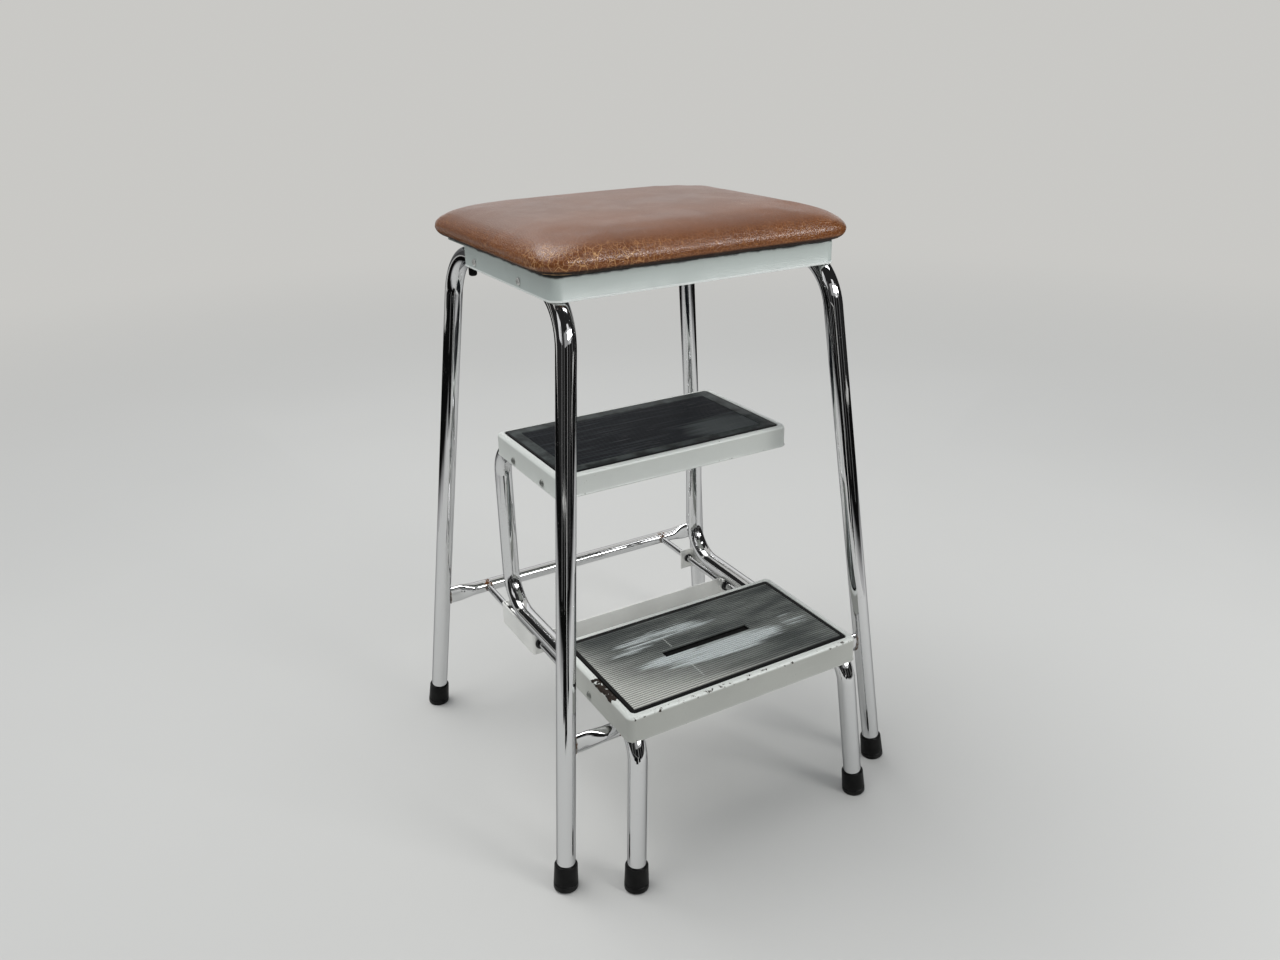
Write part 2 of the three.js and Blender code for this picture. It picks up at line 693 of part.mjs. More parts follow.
const boardSlab = skin([cushionRing([BOARD_INSET, boardZ]), cushionRing([BOARD_INSET, boardZ + BOARD])]);
const screwTipZ = SEAT_TOP_Z - SHEET - GAP + BOARD_SCREW_LENGTH;
add(stool, "seat_board", cut(boardSlab, boardHoles(screwTipZ + GAP)), PLYWOOD);
boardScrewPlaces.forEach(([x, y], i) => {
  const label = "board_screw_" + (i + 1);
  const mesh = add(stool, label, screw(BOARD_SCREW_LENGTH, SCREW_HEAD_R, BOARD_SCREW_HEAD), ZINC);
  mesh.position.set(x, y, SEAT_TOP_Z - SHEET - GAP);
  mesh.rotation.x = -Math.PI / 2;
});

// Step frame

const stepUnit = new THREE.Group();
stool.add(stepUnit);

// One tube a side: a leg, a bend back to the run under the lower step, a rise behind it, and a bend
// forward to the middle step.
function stepCorners(sx) {
  const x = sx * STEP_TUBE_X;
  return [
    { at: stepLegAt(sx, TIP_FLOOR + GAP - TIP_SINK) },
    { at: stepLegAt(sx, RUN_Z), bend: STEP_FRONT_BEND_R },
    { at: vec(x, RISE_Y, RUN_Z), bend: STEP_REAR_BEND_R },
    { at: vec(x, RISE_Y, STEP_TOP_Z), bend: STEP_TOP_BEND_R },
    { at: vec(x, TUBE_END_Y, STEP_TOP_Z) },
  ];
}

const stepRoom = SIDES.map(([, sx]) => solid(bentTube(stepCorners(sx), TUBE_R + GAP)));

for (const [side, sx] of SIDES) {
  const holes = [
    ...skirtHoles(sx, STEP_TUBE_X, LOWER_SCREW_Y, RUN_Z),
    ...skirtHoles(sx, STEP_TUBE_X, MIDDLE_SCREW_Y, STEP_TOP_Z),
  ];
  const tube = bentTube(stepCorners(sx), TUBE_R, TUBE_R - TUBE_WALL);
  add(stepUnit, side + "_step_tube", cut(tube, holes), CHROME);
  const ferrule = tip(stepLegAt(sx, -TIP_SINK), stepLegAt(sx, RUN_Z));
  add(stepUnit, side + "_step_tip", ferrule, RUBBER);
}

// A plug closes the open end inside the middle step.
const boreFlat = (TUBE_R - TUBE_WALL) * Math.cos(Math.PI / BORE_SIDES);
const plugOutline = [
  [0, -PLUG_LENGTH],
  [boreFlat - GAP, -PLUG_LENGTH],
  [boreFlat - GAP, 0],
  [TUBE_R, 0],
  [TUBE_R, PLUG_CAP / 2],
  [TUBE_R - PLUG_CAP / 2, PLUG_CAP],
  [0, PLUG_CAP],
];
for (const [side, sx] of SIDES) {
  const plug = add(stepUnit, side + "_tube_plug", turned(plugOutline, TIP_SIDES), NYLON);
  plug.position.set(sx * STEP_TUBE_X, TUBE_END_Y - GAP, STEP_TOP_Z);
  plug.rotation.z = Math.PI;
}

// Steps

// The rear skirt of a step is notched where a tube comes through, and open below it.
function rearNotches(rearY, low, tubeZ) {
  return SIDES.flatMap(([, sx], i) => {
    const x = sx * STEP_TUBE_X;
    const half = TUBE_R + GAP;
    const near = rearY - OVERRUN;
    const far = rearY + OVERRUN;
    const wall = block(vec(x - half, near, low - OVERRUN), vec(x + half, far, tubeZ + half));
    const tools = [stepRoom[i].intersect(wall)];
    if (tubeZ > low) tools.push(block(vec(x - half, near, low - OVERRUN), vec(x + half, far, tubeZ)));
    return tools;
  });
}

// The rib pattern as one comb: grooves along X, joined above the mat.
function ribComb(frontY, z, border) {
  const room = MAT_DEPTH - border - border;
  const count = Math.floor(room / RIB_PITCH);
  const first = frontY + MAT_DEPTH / 2 - ((count - 1) * RIB_PITCH) / 2;
  const low = z + MAT - RIB_DEPTH;
  const high = z + MAT + RIB_DEPTH;
  const outline = [];
  for (let i = 0; i < count; i++) {
    const left = first + i * RIB_PITCH - RIB_GROOVE / 2;
    const right = left + RIB_GROOVE;
    outline.push([left, high], [left, low], [right, low], [right, high]);
  }
  const lid = high + OVERRUN;
  outline.push([first + (count - 1) * RIB_PITCH + RIB_GROOVE / 2, lid], [first - RIB_GROOVE / 2, lid]);
  const half = MAT_HALF_X - border;
  const shape = new THREE.Shape(outline.map(([y, level]) => new THREE.Vector2(y, level)));
  const comb = new THREE.ExtrudeGeometry(shape, { depth: half + half, bevelEnabled: false });
  const place = new THREE.Matrix4().makeBasis(vec(0, 1, 0), vec(0, 0, 1), vec(1, 0, 0));
  place.setPosition(-half, 0, 0);
  return solid(comb, place);
}

const matPlan = (frontY) => ({
  halfX: MAT_HALF_X,
  minY: frontY,
  maxY: frontY + MAT_DEPTH,
  corner: MAT_CORNER_R,
});

function matSlab(frontY, z) {
  const plan = matPlan(frontY);
  return skin([roundedRing(plan, 0, z), roundedRing(plan, 0, z + MAT)]);
}

// The pocket that the mat lies in: a body of one sheet more all round, and the room in it.
function matPocket(frontY, rimZ) {
  const plan = matPlan(frontY);
  const floorZ = rimZ - POCKET_DEPTH;
  const wide = GAP + POCKET_SLOPE;
  const body = skin([
    roundedRing(plan, -GAP - SHEET, floorZ - SHEET),
    roundedRing(plan, -wide - SHEET, rimZ - SHEET / 2),
  ]);
  const overrunShare = OVERRUN / POCKET_DEPTH;
  const room = skin([
    roundedRing(plan, -GAP, floorZ),
    roundedRing(plan, -wide - POCKET_SLOPE * overrunShare, rimZ + OVERRUN),
  ]);
  return { body: solid(body), room: solid(room) };
}

const steps = [
  {
    name: "lower",
    matY: LOWER_MAT_FRONT_Y,
    frontY: LOWER_PAN_FRONT_Y,
    rearY: LOWER_PAN_REAR_Y,
    z: LOWER_PAN_Z,
    height: LOWER_PAN_HEIGHT,
    tubeZ: RUN_Z,
    screws: LOWER_SCREW_Y,
    border: LOWER_RIB_BORDER,
    rubber: WORN_MAT,
    recess: true,
  },
  {
    name: "middle",
    matY: MIDDLE_MAT_FRONT_Y,
    frontY: MIDDLE_PAN_FRONT_Y,
    rearY: MIDDLE_PAN_REAR_Y,
    z: MIDDLE_PAN_Z,
    height: MIDDLE_PAN_HEIGHT,
    tubeZ: STEP_TOP_Z,
    screws: MIDDLE_SCREW_Y,
    border: MIDDLE_RIB_BORDER,
    rubber: BLUE_MAT,
    recess: false,
  },
];
for (const step of steps) {
  const plan = { halfX: STEP_HALF_X, minY: step.frontY, maxY: step.rearY, corner: STEP_CORNER_R };
  const tools = [
    ...rearNotches(step.rearY, step.z, step.tubeZ),
    ...SIDES.flatMap(([, sx]) => skirtHoles(sx, STEP_TUBE_X, step.screws, step.tubeZ)),
  ];
  const rimZ = step.z + step.height;
  const pocket = matPocket(step.matY, rimZ);
  const pressed = solid(tray(plan, step.z, step.height)).add(pocket.body);
  const pan = [pocket.room, ...tools].reduce((left, tool) => left.subtract(tool), pressed);
  add(stepUnit, step.name + "_step_pan", geometryOf(pan), STEP_ENAMEL);
  for (const [side, sx] of SIDES) {
    skirtScrews(stepUnit, step.name, side, sx, STEP_HALF_X, step.screws, step.tubeZ);
  }
  const matZ = rimZ - POCKET_DEPTH + GAP;
  const cuts = [ribComb(step.matY, matZ, step.border)];
  if (step.recess) {
    const middleY = step.matY + MAT_DEPTH / 2;
    cuts.push(
      block(
        vec(-RECESS_LENGTH / 2, middleY - RECESS_WIDTH / 2, matZ + MAT - RECESS_DEPTH),
        vec(RECESS_LENGTH / 2, middleY + RECESS_WIDTH / 2, matZ + MAT + OVERRUN),
      ),
    );
  }
  add(stepUnit, step.name + "_step_mat", cut(matSlab(step.matY, matZ), cuts), step.rubber);
}

// Slide bracket

// One strip of sheet on edge: a web across, a flange back along the outside of each rod, and a tab turned
// in at each rear end. The web and the tabs carry the bushings that run on the rods.
const flangeX = STEP_TUBE_X + TUBE_R - BRACKET_SHEET / 2;
const stripLine = new BentLine([
  { at: vec(TAB_LENGTH - flangeX, BRACKET_REAR_Y, 0) },
  { at: vec(-flangeX, BRACKET_REAR_Y, 0), bend: BRACKET_BEND_R },
  { at: vec(-flangeX, BRACKET_WEB_Y, 0), bend: BRACKET_BEND_R },
  { at: vec(flangeX, BRACKET_WEB_Y, 0), bend: BRACKET_BEND_R },
  { at: vec(flangeX, BRACKET_REAR_Y, 0), bend: BRACKET_BEND_R },
  { at: vec(flangeX - TAB_LENGTH, BRACKET_REAR_Y, 0) },
]);
const stripSide = (sign) =>
  stripLine.stations.map(({ point, tangent }) => {
    const across = (sign * BRACKET_SHEET) / 2;
    return new THREE.Vector2(point.x + tangent.y * across, point.y - tangent.x * across);
  });
const strip = new THREE.ExtrudeGeometry(new THREE.Shape([...stripSide(1), ...stripSide(-1).reverse()]), {
  depth: BRACKET_TOP_Z - BRACKET_LOW_Z,
  bevelEnabled: false,
});
strip.translate(0, 0, BRACKET_LOW_Z);

const bushingHole = (x, y) => {
  const drill = new THREE.CylinderGeometry(
    BUSHING_BODY_R + GAP,
    BUSHING_BODY_R + GAP,
    BRACKET_SHEET + OVERRUN,
    ROUND_SIDES,
  );
  return solid(drill, moved(x, y, CROSSBAR_Z));
};
const bushingPlaces = SIDES.flatMap(([side, sx]) => [
  { name: side + "_web_bushing", x: sx * STEP_TUBE_X, y: BRACKET_WEB_Y, facing: -1 },
  { name: side + "_tab_bushing", x: sx * STEP_TUBE_X, y: BRACKET_REAR_Y, facing: 1 },
]);
add(
  stepUnit,
  "slide_bracket",
  cut(strip, [...stepRoom, ...bushingPlaces.map(({ x, y }) => bushingHole(x, y))]),
  ZINC,
);

const bushingDepth = BRACKET_SHEET + GAP + BUSHING_TAIL;
const bushingOutline = [
  [BUSHING_BORE_R, -bushingDepth],
  [BUSHING_BODY_R, -bushingDepth],
  [BUSHING_BODY_R, 0],
  [BUSHING_FLANGE_R, 0],
  [BUSHING_FLANGE_R, BUSHING_FLANGE],
  [BUSHING_BORE_R, BUSHING_FLANGE],
  [BUSHING_BORE_R, -bushingDepth],
];
for (const { name, x, y, facing } of bushingPlaces) {
  const bushing = add(stepUnit, name, turned(bushingOutline, ROUND_SIDES), NYLON);
  bushing.position.set(x, y + facing * (BRACKET_SHEET / 2 + GAP), CROSSBAR_Z);
  if (facing < 0) bushing.rotation.z = Math.PI;
}

// The origin lies under the middle of the whole part, which stands on the floor.
const bounds = new THREE.Box3().setFromObject(stool, true);
stool.position.y = -(bounds.min.y + bounds.max.y) / 2;

export default stool;
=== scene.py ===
# %% [markdown]
# # A step stool with a padded seat and pull-out steps
# The stool is two bent tube frames under a pressed pan with a cushion on it, and a sliding frame that carries
# two ribbed steps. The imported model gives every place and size. This script gives the looks: it builds a
# smooth, detailed piece for each plain solid, a material for each finish, a studio and a camera.

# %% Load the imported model
import math
from math import cos, pi, sin

import bmesh
import bpy
from mathutils import Matrix, Vector, noise


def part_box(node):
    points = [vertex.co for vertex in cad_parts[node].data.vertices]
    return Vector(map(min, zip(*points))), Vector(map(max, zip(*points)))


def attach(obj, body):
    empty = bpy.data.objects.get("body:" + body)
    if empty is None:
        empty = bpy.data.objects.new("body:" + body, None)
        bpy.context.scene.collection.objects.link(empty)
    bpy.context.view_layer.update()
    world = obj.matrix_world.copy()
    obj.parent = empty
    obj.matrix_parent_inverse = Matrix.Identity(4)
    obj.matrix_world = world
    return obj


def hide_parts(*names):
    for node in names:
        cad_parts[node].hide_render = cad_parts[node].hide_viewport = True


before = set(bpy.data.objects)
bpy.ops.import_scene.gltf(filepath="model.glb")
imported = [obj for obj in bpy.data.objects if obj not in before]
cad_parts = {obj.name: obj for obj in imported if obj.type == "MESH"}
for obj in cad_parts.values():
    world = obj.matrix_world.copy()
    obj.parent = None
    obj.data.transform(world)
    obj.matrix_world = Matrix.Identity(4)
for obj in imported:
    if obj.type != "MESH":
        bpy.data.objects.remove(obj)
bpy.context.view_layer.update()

scene = bpy.context.scene

# %% [markdown]
# ## Sizes
# Everything is in metres. The slide's rods run from crossbar to crossbar, so the middle of a rod is the middle
# of the stool from front to back, and the other places are measured from there. The sizes that a box can't
# give, such as a bend's radius, are the same named values as in the solid model.

# %% Sizes and places
MM = 0.001
GAP = 0.3 * MM
MIDDLE_Y = sum(corner.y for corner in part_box("left_guide_rod")) / 2
FLOOR_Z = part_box("front_left_leg_tip")[0].z
SIDES = [("left", -1), ("right", 1)]
ENDS = [("front", -1), ("rear", 1)]
UPWARDS = Vector((0, 0, 1))

TUBE_R = 10 * MM
CROSSBAR_R = 8 * MM
ROD_R = 4 * MM
FOOT_X = 210 * MM
FOOT_Y = 195 * MM
FRAME_TOP_X = 149.5 * MM
FRAME_CORNER_Y = 138.5 * MM
FRAME_TOP_Z = 608 * MM
FRAME_BEND_R = 55 * MM
CROSSBAR_Z = 161 * MM
STEP_TUBE_X = 132.5 * MM
STEP_FOOT_X = 147 * MM
STEP_FOOT_Y = -234 * MM
STEP_FRONT_CORNER_Y = -219.5 * MM
RUN_Z = 181 * MM
RISE_Y = 90.7 * MM
STEP_TOP_Z = 392 * MM
STEP_BENDS = [35 * MM, 44 * MM, 40 * MM]
TUBE_END_Y = -73.8 * MM
TUBE_FOOT_Z = 5.3 * MM
LOWER_BORDER = 4.2 * MM
MIDDLE_BORDER = 15 * MM


def place(x, y, z):
    """A point that is measured from the stool's middle, on the floor."""
    return Vector((x, y + MIDDLE_Y, z))


def leg_at(side, end, z):
    share = z / FRAME_TOP_Z
    x = FOOT_X + (FRAME_TOP_X - FOOT_X) * share
    y = FOOT_Y + (FRAME_CORNER_Y - FOOT_Y) * share
    return place(side * x, end * y, z)


def step_leg_at(side, z):
    share = z / RUN_Z
    x = STEP_FOOT_X + (STEP_TUBE_X - STEP_FOOT_X) * share
    y = STEP_FOOT_Y + (STEP_FRONT_CORNER_Y - STEP_FOOT_Y) * share
    return place(side * x, y, z)


print("middle of the stool, mm:", round(MIDDLE_Y / MM, 2))

# %% [markdown]
# ## Camera
# The photograph was taken from the front left, a little above the seat. The camera's place, turn and lens come
# from a fit to the corners of the steps, the feet and the crossbars in the picture.

# %% Camera
PICTURE_WIDTH = 1280
FOCAL_PIXELS = 1028.4
SENSOR_MM = 36
YAW, PITCH, ROLL = (math.radians(angle) for angle in (-29.44, -23.0, -1.28))
CAMERA_SPOT = place(-541.2 * MM, -959.1 * MM, 812.4 * MM)

ahead = Vector((-sin(YAW) * cos(PITCH), cos(YAW) * cos(PITCH), sin(PITCH)))
level = ahead.cross(UPWARDS).normalized()
over = level.cross(ahead)
right = level * cos(ROLL) + over * sin(ROLL)
up = over * cos(ROLL) - level * sin(ROLL)

camera_data = bpy.data.cameras.new("photo_camera")
camera_data.lens = FOCAL_PIXELS / PICTURE_WIDTH * SENSOR_MM
camera_data.sensor_width = SENSOR_MM
camera = bpy.data.objects.new("photo_camera", camera_data)
scene.collection.objects.link(camera)
turn = Matrix((right, up, -ahead)).transposed().to_4x4()
camera.matrix_world = Matrix.Translation(CAMERA_SPOT) @ turn
scene.camera = camera
print("lens, mm:", round(camera_data.lens, 2))

# %% [markdown]
# ## Node helpers
# A material and a geometry tree are both nodes and links. One helper adds a node with its settings and fills
# its inputs, with a number where the value is fixed and a link where it comes from another node. An output is
# wrapped as a value that can be added and multiplied like a number: each sum or product is one Math node.


# %% Helpers for nodes
class Value:
    """The output of a node, in the tree that it belongs to."""

    def __init__(self, socket):
        self.socket = socket
        self.tree = socket.id_data

    def __add__(self, other):
        return calculate("ADD", self, other)

    def __sub__(self, other):
        return calculate("SUBTRACT", self, other)

    def __rsub__(self, other):
        return calculate("SUBTRACT", other, self)

    def __mul__(self, other):
        return calculate("MULTIPLY", self, other)

    def __truediv__(self, other):
        return calculate("DIVIDE", self, other)


def fill(tree, socket, value):
    """Links an input to a value, or sets it to a number or a color."""
    if isinstance(value, Value):
        tree.links.new(value.socket, socket)
    elif socket.type == "RGBA":
        socket.default_value = (*value, 1)
    else:
        socket.default_value = value


def add_node(tree, kind, inputs=(), **settings):
    node = tree.nodes.new(kind)
    for name, value in settings.items():
        setattr(node, name, value)
    for name, value in dict(inputs).items():
        fill(tree, node.inputs[name], value)
    return node


def made(tree, kind, output, inputs=(), **settings):
    """One output of a new node, as a value."""
    return Value(add_node(tree, kind, inputs, **settings).outputs[output])


def calculate(operation, first, second=0.0, clamp=False):
    tree = (first if isinstance(first, Value) else second).tree
    return made(tree, "ShaderNodeMath", 0, {0: first, 1: second}, operation=operation, use_clamp=clamp)


def maximum(first, second):
    return calculate("MAXIMUM", first, second)


def vector_math(operation, first, second=(0, 0, 0)):
    output = "Value" if operation in ("LENGTH", "DISTANCE") else "Vector"
    return made(first.tree, "ShaderNodeVectorMath", output, {0: first, 1: second}, operation=operation)


def xyz(vector):
    """The three parts of a vector."""
    node = add_node(vector.tree, "ShaderNodeSeparateXYZ", {"Vector": vector})
    return [Value(output) for output in node.outputs]


def ramp(value, low, high, out_low=0.0, out_high=1.0):
    """A value between low and high becomes one between out_low and out_high, smoothly."""
    inputs = {"Value": value, "From Min": low, "From Max": high, "To Min": out_low, "To Max": out_high}
    return made(value.tree, "ShaderNodeMapRange", "Result", inputs, interpolation_type="SMOOTHSTEP")


def falling(value, low, high):
    """1 below low, 0 above high."""
    return ramp(value, low, high, 1.0, 0.0)


def between(value, low, high, soft):
    """1 where the value lies between low and high, with soft edges."""
    return ramp(value, low - soft, low) * falling(value, high, high + soft)


def graded(mask, first, last):
    """The first number where the mask is 0, and the last where it is 1."""
    return ramp(mask, 0.0, 1.0, first, last)


def mix(share, first, second):
    return made(share.tree, "ShaderNodeMix", 2, {0: share, 6: first, 7: second}, data_type="RGBA")


def tint(base, color, mask, amount=None):
    """The base with a color laid over it where the mask is, as strongly as the amount says."""
    return mix(mask * amount if amount else mask, base, color)


def noise_at(vector, scale, detail=3.0, roughness=0.55):
    inputs = {"Vector": vector, "Scale": scale, "Detail": detail, "Roughness": roughness}
    return made(vector.tree, "ShaderNodeTexNoise", "Fac", inputs)


def cells(vector, scale, feature="F1"):
    """The distance from the middle of a cell, or from its edge."""
    inputs = {"Vector": vector, "Scale": scale}
    return made(vector.tree, "ShaderNodeTexVoronoi", "Distance", inputs, feature=feature)


def stretched(vector, scale):
    return made(vector.tree, "ShaderNodeMapping", "Vector", {"Vector": vector, "Scale": scale})


# %% [markdown]
# ## Effects that several finishes share
# Old metal and rubber differ mostly in how they are worn. Four groups hold that wear: a soft mottle for dust
# and handling, hairline scratches along a direction, ragged chips, and specks such as pitting. Each gives a
# mask from 0 to 1, and the material decides what the mask does.

# %% Shader groups for wear
FLOAT = "NodeSocketFloat"
VECTOR = "NodeSocketVector"


def new_group(name, vectors, numbers, outputs):
    """A shader group, with its inputs as values and the sockets of its outputs."""
    group = bpy.data.node_groups.new(name, "ShaderNodeTree")
    labels = vectors + numbers
    for label in labels:
        kind = VECTOR if label in vectors else FLOAT
        group.interface.new_socket(name=label, in_out="INPUT", socket_type=kind)
    for label in outputs:
        group.interface.new_socket(name=label, in_out="OUTPUT", socket_type=FLOAT)
    start = group.nodes.new("NodeGroupInput").outputs
    return group, [Value(start[label]) for label in labels], group.nodes.new("NodeGroupOutput").inputs


def use_group(group, vector, **inputs):
    """The outputs of a group at work on a vector."""
    named = {name.capitalize(): value for name, value in inputs.items()}
    node = add_node(vector.tree, "ShaderNodeGroup", {"Vector": vector, **named}, node_tree=group)
    return [Value(output) for output in node.outputs]


mottle, (vector, scale, low, high), end = new_group("Mottle", ["Vector"], ["Scale", "Low", "High"], ["Mask"])
fill(mottle, end["Mask"], ramp(noise_at(vector, scale, 4.0, 0.6), low, high))

scratches, (vector, stretch, amount), end = new_group("Scratches", ["Vector", "Stretch"], ["Amount"], ["Mask"])
lines = noise_at(vector_math("MULTIPLY", vector, stretch), 1.0, 2.0, 0.5)
patches = ramp(noise_at(vector, 12.0, 2.0), 0.4, 0.62)
mask = calculate("MULTIPLY", ramp(lines, 0.62, 0.7) * patches, amount, clamp=True)
fill(scratches, end["Mask"], mask)

chips, (vector, scale, near, amount), end = new_group(
    "Chips", ["Vector"], ["Scale", "Place", "Amount"], ["Mask", "Rim"]
)
depth = noise_at(vector, scale, 5.0, 0.65) + near * amount
fill(chips, end["Mask"], ramp(depth, 0.82, 0.85))
fill(chips, end["Rim"], ramp(depth, 0.76, 0.84))

specks, (vector, scale, size, spread), end = new_group(
    "Specks", ["Vector"], ["Scale", "Size", "Spread"], ["Mask"]
)
areas = ramp(noise_at(vector, 30.0, 2.0), spread, spread + 0.15)
fill(specks, end["Mask"], calculate("LESS_THAN", cells(vector, scale), size) * areas)
print("shader groups:", [group.name for group in bpy.data.node_groups])


def mottled(vector, scale, low=0.3, high=0.7):
    return use_group(mottle, vector, scale=scale, low=low, high=high)[0]


def scratched(vector, stretch, amount):
    return use_group(scratches, vector, stretch=stretch, amount=amount)[0]


def chipped(vector, scale, near, amount):
    """The mask of the chips, and the mask of their rims."""
    return use_group(chips, vector, scale=scale, place=near, amount=amount)


def specked(vector, scale, size, spread):
    return use_group(specks, vector, scale=scale, size=size, spread=spread)[0]


# %% A new material with its main nodes
SHADER_INPUTS = {
    "color": "Base Color",
    "rough": "Roughness",
    "metal": "Metallic",
    "normal": "Normal",
    "specular": "Specular IOR Level",
    "edge_color": "Specular Tint",
    "coat": "Coat Weight",
    "coat_rough": "Coat Roughness",
    "coat_normal": "Coat Normal",
    "glow": "Emission Color",
    "glow_strength": "Emission Strength",
}


def new_material(name):
    """A material, its shader and the object's own coordinates in metres."""
    material = bpy.data.materials.new(name)
    material.use_nodes = True
    tree = material.node_tree
    return material, tree.nodes["Principled BSDF"], made(tree, "ShaderNodeTexCoord", "Object")


def feed(shader, **inputs):
    for name, value in inputs.items():
        fill(shader.id_data, shader.inputs[SHADER_INPUTS[name]], value)


def bump(height, depth, under=None):
    """A bump whose depth is in metres, on top of another if there is one."""
    inputs = {"Height": height, "Strength": 1.0, "Distance": depth}
    if under:
        inputs["Normal"] = under
    return made(height.tree, "ShaderNodeBump", "Normal", inputs)


# %% [markdown]
# ## Chrome
# Bright chrome is a metal with almost no roughness, so it shows what stands round it. Age adds a faint haze of
# fine scratches, dark pits that gather in patches, and brown rust where the bars were welded.

# %% Chrome
CHROME_COLOR = (0.74, 0.745, 0.75)
CHROME_EDGE = (0.35, 0.35, 0.36)
DEEP_RUST = (0.05, 0.022, 0.01)
PALE_RUST = (0.2, 0.085, 0.03)
RUST_REACH = 11 * MM


def chrome(name, haze, rust_at=()):
    """Chrome with rust round each point of rust_at and round its mirror image in x."""
    material, shader, where = new_material(name)
    lines = scratched(where, (900.0, 900.0, 40.0), 0.35)
    rust = specked(where, 520.0, 0.14, 0.57)
    x, y, z = xyz(where)
    parts = {"X": calculate("ABSOLUTE", x), "Y": y, "Z": z}
    mirrored = made(where.tree, "ShaderNodeCombineXYZ", "Vector", parts)
    for point in rust_at:
        near = falling(vector_math("DISTANCE", mirrored, point), RUST_REACH * 0.55, RUST_REACH * 1.25)
        rust = maximum(rust, chipped(where, 260.0, near, 0.42)[0])
    rust_color = mix(noise_at(where, 300.0, 4.0), DEEP_RUST, PALE_RUST)
    rough = graded(mottled(where, 24.0, 0.35, 0.75), haze * 0.5, haze * 1.6) + lines * 0.12
    rough = calculate("ADD", rough, rust * 0.5, clamp=True)
    metal = calculate("SUBTRACT", 1.0, rust * 0.8, clamp=True)
    wavy = noise_at(stretched(where, (1.0, 1.0, 0.3)), 60.0, 2.0)
    normal = bump(rust, 0.1 * MM, bump(wavy, 0.08 * MM))
    color = mix(rust, CHROME_COLOR, rust_color)
    feed(shader, color=color, rough=rough, metal=metal, normal=normal, edge_color=CHROME_EDGE)
    return material


rod_ends = [Vector((STEP_TUBE_X, leg_at(1, end, CROSSBAR_Z).y, CROSSBAR_Z)) for _, end in ENDS]
CHROME_TUBE = chrome("bright_tube_chrome", 0.065)
CHROME_BAR = chrome("crossbar_chrome", 0.07, rod_ends)
CHROME_ROD = chrome("rod_chrome", 0.1, rod_ends)
print("chrome:", CHROME_TUBE.name, CHROME_BAR.name, CHROME_ROD.name)

# %% [markdown]
# ## Paint and enamel
# The seat pan has a silver-grey paint with a faint green cast and a satin gloss. The steps have a paler, harder
# enamel. Its edges are chipped down to dark primer and rust: small chips along the lower step's front edge, and
# one long patch on its left edge.

# %% Paint and enamel
PAINT_SPECULAR = 0.35
DARK_SPECKS = (0.12, 0.11, 0.1)
PALE_SCRATCHES = (0.75, 0.76, 0.75)
COVER_SHADOW = (0.012, 0.012, 0.012)
BEAD_HIGHLIGHT = (0.9, 0.93, 0.9)
RIM_HIGHLIGHT = (0.84, 0.865, 0.82)
PRIMER = (0.33, 0.3, 0.26)
BARE_DARK = (0.006, 0.005, 0.004)
BARE_RUST = (0.04, 0.022, 0.013)


def paint(name, color, rough):
    """A paint's shader and coordinates, its color with specks and scratches, its roughness and its peel."""
    material, shader, where = new_material(name)
    tone = mottled(where, 14.0)
    painted = mix(tone, tuple(channel * 0.93 for channel in color), color)
    painted = tint(painted, DARK_SPECKS, specked(where, 230.0, 0.1, 0.5), 0.4)
    painted = tint(painted, PALE_SCRATCHES, scratched(where, (9.0, 9.0, 420.0), 0.3), 0.18)
    normal = bump(noise_at(where, 900.0, 2.0), 0.02 * MM)
    return material, shader, where, painted, graded(tone, rough * 1.2, rough * 0.85), normal


def seat_paint():
    """Satin paint, with a painted highlight along the bead at the skirt's lower edge and a painted shadow just
    under the cover.
    """
    material, shader, where, color, rough, normal = paint("satin_pan_paint", (0.53, 0.585, 0.555), 0.38)
    low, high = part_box("seat_pan")
    height = xyz(where)[2]
    wavy = height + noise_at(where, 45.0) * (5 * MM)
    # Painted shadow: the skirt's top, just under the cushion's tuck, is darkened almost to black.
    color = tint(color, COVER_SHADOW, ramp(wavy, high.z - 1.5 * MM, high.z + 0.5 * MM), 0.9)
    # Painted highlight: a pale band along the bead at the skirt's lower edge, where it would catch the light.
    color = tint(color, BEAD_HIGHLIGHT, falling(height, low.z + 1.6 * MM, low.z + 2.6 * MM), 0.85)
    feed(shader, color=color, rough=rough, metal=0.0, normal=normal, specular=PAINT_SPECULAR)
    return material


def step_enamel(name, pan, shade, front_chips, patch=None):
    """Enamel with a painted highlight along its top rim, chipped along the front top edge and, with patch,
    along a stretch of the left rim.
    """
    material, shader, where, color, rough, normal = paint(name, shade, 0.35)
    low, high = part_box(pan)
    x, y, z = xyz(where)
    near = between(z, high.z - 3.5 * MM, high.z + MM, MM) * between(y, low.y - MM, low.y + 4 * MM, MM)
    near = maximum(near * front_chips, between(z, low.z - MM, low.z + 2 * MM, MM) * 0.5)
    gone, chip_rim = chipped(where, 170.0, near, 0.33)
    if patch:
        first, last, reach = patch
        inside = between(x, low.x - MM, low.x + reach, 3 * MM) * between(y, first, last, 12 * MM)
        inside = inside * ramp(z, high.z - 5 * MM, high.z - 2 * MM)
        ragged = noise_at(stretched(where, (1.0, 0.5, 1.0)), 230.0, 4.0, 0.6)
        gone = maximum(gone, ramp(inside + (ragged - 0.5) * 2.8, 0.72, 0.78))
    # Painted highlight: the rounded rim round the mat is made paler than the skirt.
    color = tint(color, RIM_HIGHLIGHT, ramp(z, high.z - 4 * MM, high.z - 1.5 * MM), 0.75)
    color = tint(color, PRIMER, chip_rim * near, 0.5)
    color = mix(gone, color, mix(noise_at(where, 240.0), BARE_DARK, BARE_RUST))
    rough = calculate("ADD", rough, gone * 0.4, clamp=True)
    normal = bump(1.0 - gone, 0.12 * MM, normal)
    feed(shader, color=color, rough=rough, metal=0.0, normal=normal, specular=PAINT_SPECULAR)
    return material


